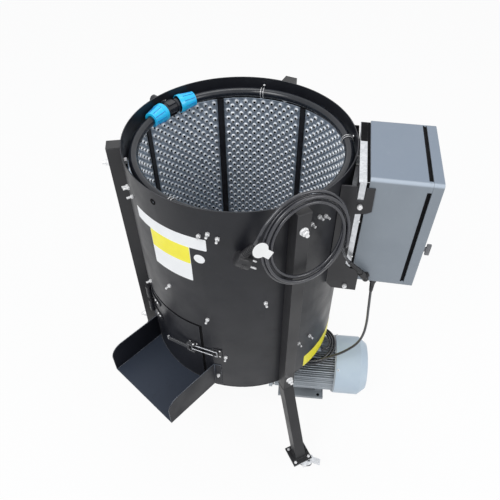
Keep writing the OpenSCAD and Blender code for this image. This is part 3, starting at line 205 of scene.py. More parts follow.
def even(path, count):
    total = path_length(path)
    step = total / (count - 1)
    out = [path[0]]
    walked = 0
    for a, b in zip(path, path[1:]):
        part = (b - a).length
        while len(out) < count - 1 and walked + part >= step * len(out):
            out.append(a.lerp(b, (step * len(out) - walked) / part))
        walked += part
    out.append(path[-1])
    return out


def ease(t):
    s = min(1, max(0, t))
    return s * s * (3 - 2 * s)


# The mains coil winds inwards, dips, and comes out again as a second layer
COIL_AZ = LEG_AZ["front"]
COIL_CENTER = turn(COIL_AZ, (334, 8, 1018))
COIL_TILT = math.radians(9)
COIL_E1 = turn(COIL_AZ, (0, 1, 0))
COIL_E2 = turn(COIL_AZ, (-math.sin(COIL_TILT), 0, math.cos(COIL_TILT)))
COIL_N = turn(COIL_AZ, (math.cos(COIL_TILT), 0, math.sin(COIL_TILT)))
COIL_TURNS = 3.383
COIL_START = 128
COIL_R = 116
COIL_IN_PITCH = 9
COIL_DIP = 10.25
COIL_DIP_TURN = 1.1
COIL_BACK = 1.75
COIL_OUT_PITCH = 12
COIL_STRETCH = 1.08
COIL_LAYER = 8.9
STEPS = 72


def coil_radius(u):
    if u < COIL_BACK:
        dip = ease((u - COIL_DIP_TURN) / (COIL_BACK - COIL_DIP_TURN))
        return COIL_R - COIL_IN_PITCH * u - COIL_DIP * dip
    return COIL_R - COIL_IN_PITCH * COIL_BACK - COIL_DIP + COIL_OUT_PITCH * (u - COIL_BACK)


def coil_pt(u):
    a = math.radians(COIL_START - 360 * u)
    r = coil_radius(u)
    flat = r * math.cos(a) * COIL_E1 + COIL_STRETCH * r * math.sin(a) * COIL_E2
    return COIL_CENTER + flat + COIL_LAYER * ease((u - 1.5) * 2) * COIL_N


# The motor cable's slack loops lie on the motor and end in a tight turn to its terminal box
LOOP_SHIFT = 15
LOOP_START = 0.25
LOOP_TURNS = 2.75
LOOP_R = 93
LOOP_PITCH = 8.8
LOOP_X = 242
LOOP_Z = 321
LOOP_SAG = 20
TURN_IN_R = 32
TURN_IN_X = LOOP_X + LOOP_R - LOOP_PITCH * LOOP_TURNS - TURN_IN_R


def loop_at(x, y):
    dy = LOOP_SHIFT + y
    return motor_pt(x, dy + MOTOR_Y, LOOP_Z - LOOP_SAG * (dy / LOOP_R) ** 2)


def loop_pt(u):
    a = math.radians(-90 - 360 * u)
    r = LOOP_R - LOOP_PITCH * u
    return loop_at(LOOP_X + r * math.cos(a), r * math.sin(a))


def turn_in_pt(a):
    return loop_at(TURN_IN_X + TURN_IN_R * math.cos(math.radians(a)), TURN_IN_R * math.sin(math.radians(a)))


PLUG = Matrix.Translation((1.2, -323, 979.5)) @ Matrix.Rotation(math.radians(30), 4, "Y")
PLUG = PLUG @ Matrix.Rotation(math.radians(10), 4, "X")
NECK = PLUG @ Matrix.Translation((-8, 0, 0))
PLUG_TIP = NECK @ Vector((0, 0, 66))
LEAN = math.radians(37)
LEAD_END = box_pt(366, -155.5, 788) + 38 * box_pt(-math.sin(LEAN), 0, math.cos(LEAN))
GLAND_TIP = box_pt(394, -118, 728)
LEAD = [(248.5, -272, 968), (247, -250, 940), (253, -230, 905), (264, -216, 872), (283, -214, 842)]
TAIL = [(36, -338, 1066), (49, -331, 1092)]
DROP = [(366, -191, 690), (372, -192, 615), (377, -194, 545), (375, -196, 485)]
DROP += [(362, -197, 438), (334, -197, 400), (302, -197, 373), (268, -197, 354)]
DROP += [(232, -198, 343), (187, -187, 335), (156, -158, 328), (142, -124, 323)]
coil_line = [coil_pt(min(COIL_TURNS, k / STEPS)) for k in range(round(COIL_TURNS * STEPS) + 1)]
lead_line = smooth([coil_line[-1]] + LEAD + [LEAD_END], 12)
tail_line = smooth([PLUG_TIP] + TAIL + [coil_line[0]], 12)
mains_line = lead_line[::-1] + coil_line[::-1][1:] + tail_line[::-1][1:]
loop_line = [loop_pt(k / STEPS) for k in range(round(LOOP_START * STEPS), round(LOOP_TURNS * STEPS) + 1)]
loop_line += [turn_in_pt(-3 * k) for k in range(1, 31)]
motor_line = smooth([GLAND_TIP] + DROP + [loop_pt(LOOP_START)], 12) + loop_line[1:]


def cord_curve(name, line, count, diameter):
    """A round curve. Its size is in the radius of its points, which a curve's box counts in full."""
    points = [p * MM for p in even(line, count)]
    data = bpy.data.curves.new(name, "CURVE")
    data.dimensions = "3D"
    data.resolution_u = 4
    data.bevel_depth = 1
    data.bevel_resolution = 4
    data.use_fill_caps = True
    spline = data.splines.new("BEZIER")
    spline.bezier_points.add(len(points) - 1)
    for i, p in enumerate(points):
        point = spline.bezier_points[i]
        point.handle_left_type = "FREE"
        point.handle_right_type = "FREE"
        point.radius = diameter / 2
        point.co = p
        point.handle_left = p - slope(points, i) / 3
        point.handle_right = p + slope(points, i) / 3
    return put(name, data)


mains_cord = cord_curve("mains_cord", mains_line, 200, CORD_D)
motor_cord = cord_curve("motor_cord", motor_line, 130, CORD_D)


# Materials
class Look:
    """A procedural material: one principled shader with noise behind its colour, gloss and surface."""

    def __init__(self, name, rough, metallic=0.0, coat=0.0, shine=0.5):
        self.material = bpy.data.materials.new(name)
        self.material.use_nodes = True
        self.tree = self.material.node_tree
        self.tree.nodes.clear()
        out = self.add("ShaderNodeOutputMaterial")
        self.shader = self.add("ShaderNodeBsdfPrincipled")
        self.link(self.shader.outputs[0], out.inputs[0])
        self.shader.inputs["Roughness"].default_value = rough
        self.shader.inputs["Metallic"].default_value = metallic
        self.shader.inputs["Specular IOR Level"].default_value = shine
        self.shader.inputs["Coat Weight"].default_value = coat
        self.shader.inputs["Coat Roughness"].default_value = 0.12
        place = self.add("ShaderNodeTexCoord")
        self.coord = place.outputs["Object"]
        self.facing = place.outputs["Normal"]
        self.colour_out = None
        self.normal_out = None

    def add(self, kind):
        return self.tree.nodes.new(kind)

    def link(self, a, b):
        self.tree.links.new(a, b)

    def noise(self, scale, detail):
        node = self.add("ShaderNodeTexNoise")
        node.inputs["Scale"].default_value = scale
        node.inputs["Detail"].default_value = detail
        self.link(self.coord, node.inputs["Vector"])
        return node.outputs["Fac"]

    def cells(self, scale):
        node = self.add("ShaderNodeTexVoronoi")
        node.inputs["Scale"].default_value = scale
        self.link(self.coord, node.inputs["Vector"])
        split = self.add("ShaderNodeSeparateColor")
        self.link(node.outputs["Color"], split.inputs[0])
        return split.outputs[0]

    def span(self, value, a, b, low, high):
        node = self.add("ShaderNodeMapRange")
        node.inputs["From Min"].default_value = a
        node.inputs["From Max"].default_value = b
        node.inputs["To Min"].default_value = low
        node.inputs["To Max"].default_value = high
        self.link(value, node.inputs["Value"])
        return node.outputs["Result"]

    def times(self, a, b):
        node = self.add("ShaderNodeMath")
        node.operation = "MULTIPLY"
        self.link(a, node.inputs[0])
        self.link(b, node.inputs[1])
        return node.outputs[0]

    def mix(self, factor, a, b):
        node = self.add("ShaderNodeMix")
        node.data_type = "RGBA"
        self.link(factor, node.inputs[0])
        for value, socket in ((a, node.inputs[6]), (b, node.inputs[7])):
            if isinstance(value, tuple):
                socket.default_value = (*value, 1)
            else:
                self.link(value, socket)
        return node.outputs[2]

    def colour(self, output):
        self.colour_out = output
        return self

    def tone(self, a, b, scale):
        return self.colour(self.mix(self.span(self.noise(scale, 4.0), 0.35, 0.65, 0, 1), a, b))

    def over(self, factor, paint):
        return self.colour(self.mix(factor, self.colour_out, paint))

    def gloss(self, scale, low, high):
        rough = self.span(self.noise(scale, 4.0), 0.3, 0.7, low, high)
        self.link(rough, self.shader.inputs["Roughness"])
        return self

    def grain(self, scale, strength, depth, detail=2.0):
        node = self.add("ShaderNodeBump")
        node.inputs["Strength"].default_value = strength
        node.inputs["Distance"].default_value = depth
        self.link(self.noise(scale, detail), node.inputs["Height"])
        if self.normal_out is not None:
            self.link(self.normal_out, node.inputs["Normal"])
        self.normal_out = node.outputs["Normal"]
        return self

    def edges(self, radius, paint, amount):
        """A lighter colour on the edges, in patches, and their small rounding: worn paint, and on the chute
        painted highlight along its edges.
        """
        soft = self.add("ShaderNodeBevel")
        soft.samples = 6
        soft.inputs["Radius"].default_value = radius
        flat = self.add("ShaderNodeNewGeometry")
        dot = self.add("ShaderNodeVectorMath")
        dot.operation = "DOT_PRODUCT"
        self.link(soft.outputs["Normal"], dot.inputs[0])
        self.link(flat.outputs["Normal"], dot.inputs[1])
        edge = self.span(dot.outputs["Value"], 0.86, 0.985, amount, 0)
        edge_patches = self.span(self.noise(22.0, 5.0), 0.38, 0.62, 0.35, 1)
        self.over(self.times(edge, edge_patches), paint)
        self.normal_out = soft.outputs["Normal"]
        return self

    def faces_along(self, direction, a, b, amount):
        """How far the surface faces a direction of the object's own."""
        dot = self.add("ShaderNodeVectorMath")
        dot.operation = "DOT_PRODUCT"
        dot.inputs[1].default_value = direction
        self.link(self.facing, dot.inputs[0])
        return self.span(dot.outputs["Value"], a, b, 0, amount)

    def done(self):
        if self.colour_out is not None:
            self.link(self.colour_out, self.shader.inputs["Base Color"])
        if self.normal_out is not None:
            self.link(self.normal_out, self.shader.inputs["Normal"])
        return self.material


def painted(name, a, b, rough, edge_colour, radius=0.0009, amount=0.8, grain=0.10, blotch=0.25, shine=0.5,
            painted_light=()):
    """Paint between colours a and b. Each row of painted light lays another colour on what faces a
    direction: painted light where it is lighter, painted shade where it is darker.
    """
    look = Look(name, rough, shine=shine).tone(a, b, 9.0)
    for direction, low, high, share, paint in painted_light:
        look.over(look.faces_along(direction, low, high, share), paint)
    pale = tuple(min(1, x * 1.9 + 0.01) for x in a)
    look.over(look.span(look.noise(55.0, 6.0), 0.6, 0.8, 0, blotch), pale)
    look.edges(radius, edge_colour, amount)
    look.gloss(14.0, rough - 0.07, rough + 0.09)
    look.grain(1500.0, grain, 0.0003)
    return look.done()


def fins_with_painted_shade(name):
    """Cast paint with painted shade towards the roots of the fins round the motor's axis, and on the
    housing's end ring and feet beyond the fins.
    """
    look = Look(name, 0.46).tone((0.42, 0.46, 0.50), (0.54, 0.58, 0.62), 9.0)
    look.edges(0.0009, (0.85, 0.88, 0.91), 0.9)
    squared = look.add("ShaderNodeMapping")
    squared.inputs["Rotation"].default_value = (0, 0, math.radians(-MOTOR_AZ))
    squared.inputs["Location"].default_value = (0, -MOTOR_Y * MM, -MOTOR_Z * MM)
    across = look.add("ShaderNodeMapping")
    across.inputs["Scale"].default_value = (0, 1, 1)
    reach = look.add("ShaderNodeVectorMath")
    reach.operation = "LENGTH"
    look.link(look.coord, squared.inputs["Vector"])
    look.link(squared.outputs["Vector"], across.inputs["Vector"])
    look.link(across.outputs["Vector"], reach.inputs[0])
    # Painted shade in the valleys towards the fins' roots.
    look.over(look.span(reach.outputs["Value"], 0.079, 0.092, 0.85, 0), (0.045, 0.05, 0.056))
    # Painted shade on the housing beyond 99 mm from the axis: its end ring and its feet.
    look.over(look.span(reach.outputs["Value"], 0.099, 0.104, 0, 0.6), (0.15, 0.165, 0.18))
    look.gloss(14.0, 0.39, 0.55)
    look.grain(1500.0, 0.26, 0.0003)
    return look.done()


def plated(name, a, b, rough, cells=160.0, metallic=1.0, stain=0.5, radius=0.0004):
    look = Look(name, rough, metallic=metallic)
    look.colour(look.mix(look.span(look.cells(cells), 0, 1, 0, 0.7), a, b))
    look.over(look.span(look.noise(60.0, 5.0), 0.58, 0.75, 0, stain), tuple(x * 0.62 for x in a))
    look.edges(radius, tuple(min(1, x * 1.15) for x in b), 0.7)
    look.gloss(90.0, rough - 0.08, rough + 0.12)
    look.grain(800.0, 0.08, 0.0002)
    return look.done()


def moulded(name, a, b, rough, grain_scale=1300.0, grain=0.14, coat=0.0, edge_colour=None, shine=0.5):
    look = Look(name, rough, coat=coat, shine=shine).tone(a, b, 30.0)
    if edge_colour:
        look.edges(0.0006, edge_colour, 0.6)
    look.gloss(45.0, rough - 0.06, rough + 0.08)
    look.grain(grain_scale, grain, 0.0003)
    return look.done()


def film(name, a, b):
    look = Look(name, 0.34).tone(a, b, 24.0)
    look.over(look.span(look.noise(130.0, 6.0), 0.62, 0.8, 0, 0.22), tuple(x * 0.72 for x in a))
    look.gloss(60.0, 0.28, 0.46)
    look.grain(420.0, 0.10, 0.0002, 4.0)
    return look.done()


LOOKS = {
    "drum": painted("drum_satin", (0.0105, 0.0113, 0.0150), (0.015, 0.0158, 0.0205), 0.37,
                    edge_colour=(0.20, 0.21, 0.23), radius=0.0011, shine=0.32),
    "leg": painted("leg_satin", (0.020, 0.020, 0.0225), (0.026, 0.026, 0.0285), 0.40,
                   edge_colour=(0.16, 0.16, 0.17), shine=0.38),
    # Chute: on one paint, the walls' near-black is painted shade and the lighter blue of the upward floor is
    # painted light; its pale edge colour is painted highlight along its edges.
    "chute": painted("chute_satin", (0.006, 0.007, 0.011), (0.010, 0.011, 0.016), 0.44,
                     edge_colour=(0.50, 0.52, 0.57), radius=0.0016, shine=0.25,
                     painted_light=[((0, 0, 1), 0.55, 0.8, 1, (0.040, 0.050, 0.072))]),
    "bracket": painted("bracket_satin", (0.012, 0.012, 0.015), (0.018, 0.018, 0.021), 0.38,
                       edge_colour=(0.20, 0.20, 0.22)),
    "bar": painted("bar_satin", (0.008, 0.008, 0.011), (0.013, 0.013, 0.016), 0.42,
                   edge_colour=(0.10, 0.10, 0.12)),
    # Box: the darker blue on its top is painted shade, and the pale blue on its rounded top-front bend is
    # painted highlight.
    "box": painted("box_enamel", (0.236, 0.270, 0.309), (0.254, 0.289, 0.328), 0.42,
                   edge_colour=(0.42, 0.48, 0.55), radius=0.0012, amount=0.6, grain=0.16, blotch=0.06,
                   painted_light=[((0, 0, 1), 0.90, 1.0, 0.9, (0.207, 0.252, 0.318)),
                        (box_pt(0, -0.707, 0.707), 0.80, 0.97, 0.7, (0.50, 0.57, 0.66))]),
    "cover": painted("cover_enamel", (0.49, 0.59, 0.69), (0.55, 0.65, 0.74), 0.40,
                     edge_colour=(0.72, 0.80, 0.88), radius=0.0015, amount=0.7, grain=0.12, blotch=0.08),
    "motor": painted("motor_cast", (0.33, 0.38, 0.43), (0.42, 0.47, 0.52), 0.46,
                     edge_colour=(0.62, 0.67, 0.72), grain=0.26),
    "fins": fins_with_painted_shade("motor_fins_painted_shade"),
    "lever": painted("lever_dark", (0.035, 0.036, 0.040), (0.06, 0.06, 0.065), 0.34,
                     edge_colour=(0.72, 0.73, 0.75), radius=0.0012, amount=1.0),
    "cast": painted("gear_cast", (0.27, 0.29, 0.31), (0.35, 0.37, 0.39), 0.52,
                    edge_colour=(0.50, 0.52, 0.54), radius=0.001, amount=0.7, grain=0.34),
    "device": painted("device_grey", (0.45, 0.47, 0.48), (0.52, 0.54, 0.55), 0.45,
                      edge_colour=(0.65, 0.66, 0.67)),
    "rasp": plated("rasp_zinc", (0.38, 0.44, 0.52), (0.60, 0.68, 0.79), 0.36,
                   cells=115.0, metallic=0.8, stain=0.35, radius=0.003),
    # Domes: a near-white copy of the rasp's zinc, painted highlight on the domes' crowns.
    "dome": plated("dome_zinc_painted_highlight", (0.90, 0.94, 0.98), (0.98, 0.99, 1.0), 0.30,
                   cells=260.0, metallic=0.3, stain=0.10),
    "bolt": plated("bolt_zinc", (0.88, 0.88, 0.89), (0.97, 0.97, 0.97), 0.32,
                   cells=420.0, metallic=0.35, stain=0.2),
    "plate": plated("plate_zinc", (0.62, 0.64, 0.67), (0.84, 0.86, 0.89), 0.34,
                    cells=150.0, metallic=0.9, stain=0.4),
    "steel": plated("rotor_steel", (0.33, 0.34, 0.36), (0.46, 0.47, 0.49), 0.40, cells=60.0),
    "bronze": plated("gear_bronze", (0.48, 0.30, 0.12), (0.62, 0.40, 0.17), 0.36, cells=90.0),
    "rubber": moulded("wheel_rubber", (0.035, 0.035, 0.037), (0.06, 0.06, 0.062), 0.62,
                      grain_scale=600.0, grain=0.30),
    "hub": moulded("wheel_hub", (0.16, 0.16, 0.17), (0.22, 0.22, 0.23), 0.48),
    "cap": moulded("cap_plastic", (0.016, 0.016, 0.018), (0.026, 0.026, 0.028), 0.48,
                   edge_colour=(0.10, 0.10, 0.11)),
    "pipe": moulded("pipe_black", (0.008, 0.010, 0.015), (0.015, 0.018, 0.025), 0.18,
                    grain_scale=500.0, grain=0.05),
    "nut": moulded("nut_blue", (0.014, 0.55, 1.0), (0.022, 0.62, 1.0), 0.30,
                   grain_scale=700.0, grain=0.05, coat=0.25, edge_colour=(0.40, 0.80, 1.0)),
    # Groove: a darker copy of the nut's blue, painted shade in the grooves between its ribs.
    "groove": moulded("nut_groove_painted_shade", (0.008, 0.19, 0.55), (0.012, 0.23, 0.62), 0.40,
                      grain_scale=700.0, grain=0.05),
    "seal": moulded("seal_black", (0.002, 0.002, 0.0025), (0.004, 0.004, 0.005), 0.75,
                    grain_scale=900.0, grain=0.3, shine=0.12),
    # Hole: near-black, painted shade in place of the depth of holes and slots.
    "hole": moulded("hole_painted_shade", (0.002, 0.003, 0.004), (0.004, 0.005, 0.007), 0.80,
                    grain_scale=900.0, grain=0.2, shine=0.1),
    "green": moulded("button_green", (0.02, 0.30, 0.07), (0.03, 0.38, 0.10), 0.30,
                     grain_scale=900.0, grain=0.05, coat=0.3),
    "red": moulded("button_red", (0.48, 0.02, 0.015), (0.58, 0.03, 0.02), 0.30,
                   grain_scale=900.0, grain=0.05, coat=0.3),
    "cord": moulded("cord_black", (0.026, 0.027, 0.034), (0.037, 0.038, 0.047), 0.24,
                    grain_scale=520.0, grain=0.06, coat=0.55, shine=0.4),
    "plug": moulded("plug_black", (0.016, 0.016, 0.018), (0.028, 0.028, 0.031), 0.36,
                    grain_scale=700.0, grain=0.10, edge_colour=(0.16, 0.16, 0.17)),
    "tag": film("tag_paper", (0.86, 0.86, 0.85), (0.92, 0.92, 0.91)),
    "white": film("label_white", (0.90, 0.91, 0.92), (0.95, 0.96, 0.96)),
    "yellow": film("label_yellow", (0.96, 0.85, 0.03), (1.0, 0.91, 0.045)),
}

NODE_LOOKS = {
    "drum": ["drum_shell", "drum_base", "discharge_door"],
    "rasp": ["liner_panels"],
    "bar": ["liner_bars", "hinge_brackets", "latch_base", "latch_catch"],
    "bolt": ["liner_studs", "frame_bolts"],
    "hub": ["box_lock"],
    "lever": ["latch_lever"],
    "leg": ["leg_left", "leg_front", "leg_back", "gearbox_hanger"],
    "cap": ["leg_caps", "motor_fan", "switch_knob", "cable_glands"],
    "plate": ["caster_plates", "box_hanger"],
    "rubber": ["caster_wheel_left", "caster_wheel_front", "caster_wheel_back"],
    "steel": ["rotor_disc", "rotor_shaft", "motor_shaft", "latch_bail"],
    "bronze": ["worm_wheel"],
    "cast": ["shaft_bearing", "gearbox_housing", "gearbox_cover"],
    "fins": ["motor_housing"],
    "motor": ["terminal_box"],
    "cover": ["fan_cover"],
    "chute": ["chute"],
    "pipe": ["water_ring", "water_tee", "pipe_clips"],
    "nut": ["tee_nuts"],
    "box": ["box_body", "box_door"],
    "seal": ["box_gasket"],
    "green": ["start_button"],
    "red": ["stop_button"],
    "bracket": ["box_brackets"],
    "device": ["contactor_plate"],
    "plug": ["mains_plug"],
    "tag": ["cable_tag"],
    "cord": ["mains_coil", "mains_lead", "motor_lead", "motor_coil"],
}
for side in LEG_AZ:
    NODE_LOOKS["plate"] += ["caster_fork_" + side, "caster_brake_" + side]
for key, names in NODE_LOOKS.items():
    for name in names:
        nodes[name].data.materials.clear()
        nodes[name].data.materials.append(LOOKS[key])


# Building of pieces, in millimetres
class Shape:
    def __init__(self):
        self.verts = []
        self.faces = []
        self.marks = []

    def add(self, verts, faces, mark=0):
        base = len(self.verts)
        self.verts.extend(verts)
        self.faces.extend([base + i for i in face] for face in faces)
        self.marks.extend([mark] * len(faces))

    def rings(self, rows, mark=0, ends=True):
        """Skin of a row of equal rings of points."""
        n = len(rows[0])
        verts = [v for row in rows for v in row]
        faces = []
        for i in range(len(rows) - 1):
            for k in range(n):
                a = i * n + k
                b = i * n + (k + 1) % n
                faces.append([a, b, b + n, a + n])
        if ends:
            faces.append(list(range(n))[::-1])
            faces.append([(len(rows) - 1) * n + k for k in range(n)])
        self.add(verts, faces, mark)

    def lathe(self, place, profile, sides=24, mark=0, ends=True):
        rows = []
        for r, h in profile:
            row = []
            for k in range(sides):
                a = 2 * math.pi * k / sides
                row.append(place @ Vector((r * math.cos(a), r * math.sin(a), h)))
            rows.append(row)
        self.rings(rows, mark, ends)

    def hex_nut(self, place, across, height, bore=0.0, mark=0):
        r = across / math.sqrt(3)
        rows = []
        for scale, h in ((1, 0), (1, height * 0.82), (0.88, height)):
            row = []
            for k in range(6):
                a = math.pi / 3 * k
                row.append(place @ Vector((r * scale * math.cos(a), r * scale * math.sin(a), h)))
            rows.append(row)
        self.rings(rows, mark)
        self.lathe(place, [(r * 1.12, -0.2), (r * 1.12, 0.9), (r * 1.02, 1.2)], 20, mark)
        if bore:
            stub = [(bore, height - 0.4), (bore, height + 1.6), (bore * 0.8, height + 2.2)]
            self.lathe(place, stub, 16, mark)

    def screw(self, place, d, mark=0, slot_mark=1):
        r = d / 2
        self.lathe(place, [(r, 0), (r, d * 0.16), (r * 0.8, d * 0.32), (r * 0.42, d * 0.4)], 20, mark)
        # The slot is a thin bar across the crown, drawn in the near-black hole look: painted shade in place
        # of a cut slot.
        for spin_by in (0, math.pi / 2):
            arm = place @ Matrix.Rotation(spin_by, 4, "Z")
            w = d * 0.06
            l = d * 0.3
            corners = [(-l, -w), (l, -w), (l, w), (-l, w)]
            rows = [[arm @ Vector((x, y, h)) for x, y in corners] for h in (d * 0.33, d * 0.415)]
            self.rings(rows, slot_mark)

    def rivet(self, place, d, mark=0):
        r = d / 2
        head = [(r, -0.3), (r * 0.96, d * 0.12), (r * 0.75, d * 0.25), (r * 0.35, d * 0.33)]
        self.lathe(place, head, 18, mark)

    def tube(self, path, radii, sides, mark=0):
        rows = []
        side = None
        for i, p in enumerate(path):
            ahead = slope(path, i).normalized()
            if side is None:
                side = ahead.cross(Vector((0.31, 0.17, 0.94))).normalized()
            side = (side - ahead * side.dot(ahead)).normalized()
            other = ahead.cross(side)
            row = []
            for k in range(sides):
                a = 2 * math.pi * k / sides
                row.append(p + radii[i] * (math.cos(a) * side + math.sin(a) * other))
            rows.append(row)
        self.rings(rows, mark)

    def bead(self, corners, radius, mark=0):
        """A weld bead with its ripples along a path."""
        path = even(corners, max(8, round(path_length(corners) / 1.3)))
        radii = []
        for i in range(len(path)):
            radii.append(radius * (0.86 + 0.22 * abs(math.sin(1.7 * i)) + 0.08 * math.sin(0.37 * i)))
        self.tube(path, radii, 8, mark)

    def slab(self, place, outline, low, high, chamfer=0.6, mark=0):
        """A plate with a chamfered top, from an outline about its own middle."""
        rows = []
        for shrink, h in ((0, low), (0, high - chamfer), (chamfer, high)):
            row = []
            for x, y in outline:
                l = math.hypot(x, y)
                row.append(place @ Vector((x * (1 - shrink / l), y * (1 - shrink / l), h)))
            rows.append(row)
        self.rings(rows, mark)

    def sheet(self, az0, az1, z0, z1, r0, r1, corner, mark=0):
        """A thin plate with round corners, bent round the drum."""
        columns = 30
        width = math.radians(az1 - az0) * r1
        spots = [corner * (1 - math.cos(math.pi / 2 * k / 5)) for k in range(5)]
        middle = [corner + (width - 2 * corner) * k / columns for k in range(columns + 1)]
        spots = spots + middle + [width - s for s in spots[::-1]]
        rows = []
        for s in spots:
            near = min(s, width - s)
            cut = 0
            if near < corner:
                cut = corner - math.sqrt(max(0, corner ** 2 - (corner - near) ** 2))
            az = az0 + math.degrees(s / r1)
            lo = z0 + min(cut, (z1 - z0) / 2 - 0.05)
            hi = z1 - min(cut, (z1 - z0) / 2 - 0.05)
            row = []
            for k in range(5):
                row.append(drum_pt(az, r1, lo + (hi - lo) * k / 4))
            for k in range(5):
                row.append(drum_pt(az, r0, hi - (hi - lo) * k / 4))
            rows.append(row)
        self.rings(rows, mark)

    def make(self, name, body, slot_name, looks, sharp=38.0):
        mesh = bpy.data.meshes.new(name)
        mesh.from_pydata([v * MM for v in self.verts], [], self.faces)
        for key in looks:
            mesh.materials.append(LOOKS[key])
        mesh.polygons.foreach_set("material_index", self.marks)
        mesh.polygons.foreach_set("use_smooth", [True] * len(self.faces))
        mesh.set_sharp_from_angle(angle=math.radians(sharp))
        mesh.update()
        ob = put(name, mesh)
        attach(ob, body)
        return ob


def round_outline(w, h, r, steps=5):
    out = []
    for cx, cy, start in ((1, 1, 0), (-1, 1, 90), (-1, -1, 180), (1, -1, 270)):
        for k in range(steps + 1):
            a = math.radians(start + 90 * k / steps)
            out.append((cx * (w / 2 - r) + r * math.cos(a), cy * (h / 2 - r) + r * math.sin(a)))
    return out


# Cords, with their sleeves, plug and tag
SLEEVE_LENGTH = 30
SLEEVE_WIDE = 7.0
SLEEVE_NARROW = 5.2
SLEEVE_RINGS = 49


def add_sleeve(shape, line):
    """A tapered, ringed strain relief on the first stretch of a cord."""
    step = path_length(line) / 399
    count = max(6, round(SLEEVE_LENGTH / step))
    picked = even(even(line, 400)[:count + 1], SLEEVE_RINGS)
    radii = []
    for i in range(SLEEVE_RINGS):
        t = i / (SLEEVE_RINGS - 1)
        groove = 0.0 if i % 6 < 3 else -0.9 * (1 - 0.4 * t)
        radii.append(SLEEVE_WIDE + (SLEEVE_NARROW - SLEEVE_WIDE) * t + groove)
    shape.tube(picked, radii, 18)


sleeves = Shape()
for line in (mains_line, motor_line):
    add_sleeve(sleeves, line)
sleeves.make("cord_sleeves", "frame", "cap_plastic", ["cap"], 60)

plug = Shape()
for k in range(7):
    h = 25 + 5.6 * k
    r = 10 - 4.5 * h / 66 + 0.6
    ring = [(r - 1, -1.9), (r + 1.0, -1.2), (r + 1.2, 0), (r + 0.9, 1.2), (r - 1, 1.9)]
    plug.lathe(NECK @ Matrix.Translation((0, 0, h)), ring, 20)
side_on = Matrix.Rotation(math.radians(90), 4, "Y")
plug.lathe(PLUG @ side_on, [(17.4, 15.4), (17.0, 17.2), (14.2, 17.2), (13.6, 15.6)], 32)
plug.lathe(PLUG @ side_on, [(16.6, -15.6), (16.0, -17.4), (10.0, -18.2)], 32)
for s in (-1, 1):
    grip = PLUG @ side_on @ Matrix.Rotation(math.radians(90 * s), 4, "X")
    for k in range(4):
        rows = []
        for x, r in ((-9, 18.0), (-8, 18.8), (8, 18.8), (9, 18.0)):
            row = []
            for dy, lift in ((-1.1, -1.0), (-0.7, 0), (0.7, 0), (1.1, -1.0)):
                y = (k - 1.5) * 5 + dy
                row.append(grip @ Vector((x, y, math.sqrt(max(1, (r + lift) ** 2 - y * y)))))
            rows.append(row)
        plug.rings(rows, 0)
    pin = PLUG @ Matrix.Translation((0, 9.5 * s, 0)) @ side_on
    plug.lathe(pin, [(3.6, 15.8), (3.4, 18.6), (2.5, 18.8)], 16)
    plug.lathe(pin, [(2.48, 18.6), (2.48, 33.6), (2.2, 35.4), (1.4, 36.2)], 16, 1)
plug_detail = plug.make("plug_detail", "frame", "cord_black", ["plug", "bolt"])

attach(mains_cord, "frame")
mains_cord.data.materials.append(LOOKS["cord"])
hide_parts("mains_lead", "mains_coil")
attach(motor_cord, "frame")
motor_cord.data.materials.append(LOOKS["cord"])
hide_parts("motor_lead", "motor_coil")


# Rasp panels: punched domes with a hole in each, as radius, height and share of the hole's shift
def add_dome(shape, az, z):
    place = in_drum(az, z, PANEL_R)
    crown = [(7.2, 0.3, 0), (6.9, 1.5, 0), (6.2, 2.8, 0.3), (5.2, 3.8, 0.7), (4.4, 4.2, 0.9), (3.6, 4.3, 1)]
    # The hole is a shallow dish in the near-black hole look: painted shade in place of the hole's depth.
    hole = [(3.6, 4.3, 1), (3.4, 3.4, 1), (0.05, 3.2, 1)]
    for mark, profile in enumerate((crown, hole)):
        rows = []
        for r, h, off in profile:
            spots = [(r * math.cos(math.pi * k / 6), r * math.sin(math.pi * k / 6)) for k in range(12)]
            rows.append([place @ Vector((x - 1.2 * off, y - 0.8 * off, h)) for x, y in spots])
        shape.rings(rows, mark, ends=False)


def rasp_mesh(z_low):
    shape = Shape()
    for row in range(int((PANEL_TOP - z_low - 2 * RASP_EDGE) / (RASP_PITCH / 2)) + 1):
        count = 9 if row % 2 == 0 else 8
        for k in range(count):
            s = (k - (count - 1) / 2) * RASP_PITCH
            add_dome(shape, math.degrees(s / PANEL_R), PANEL_TOP - RASP_EDGE - row * RASP_PITCH / 2)
    return shape


full_panel = rasp_mesh(PANEL_LOW).make("rasp_domes_0", "frame", "rasp_zinc", ["dome", "hole"], 70)
short_panel = rasp_mesh(SHORT_PANEL_LOW).make("rasp_domes_1", "frame", "rasp_zinc", ["dome", "hole"], 70)
for k in range(PANEL_COUNT):
    if k == 0:
        ob = full_panel
    elif k == 1:
        ob = short_panel
    else:
        ob = put(f"rasp_domes_{k}", full_panel.data)
    middle = FIRST_BAR_AZ + 360 / PANEL_COUNT * (k + 0.5)
    ob.matrix_world = Matrix.Rotation(math.radians(middle), 4, "Z")
    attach(ob, "frame")


# Blank labels on the drum
labels = Shape()
labels.sheet(-148, -106, 975, 1012, 300.1, 300.45, 3, 0)
labels.sheet(-138, -114.5, 855, 977.5, 300.12, 300.5, 3, 0)
labels.sheet(-137.8, -114.7, 918, 974.5, 300.3, 300.7, 2, 1)
labels.sheet(-51, -15, 369, 428, 300.1, 300.45, 3, 1)
badge = [(14.2, 0), (14.2, 0.55), (13.6, 0.8), (9, 0.95), (0.05, 1.05)]
labels.lathe(on_drum(-110, 943, 299.75), badge, 40, 0)
labels.make("blank_labels", "frame", "tag_white", ["white", "yellow"], 30)

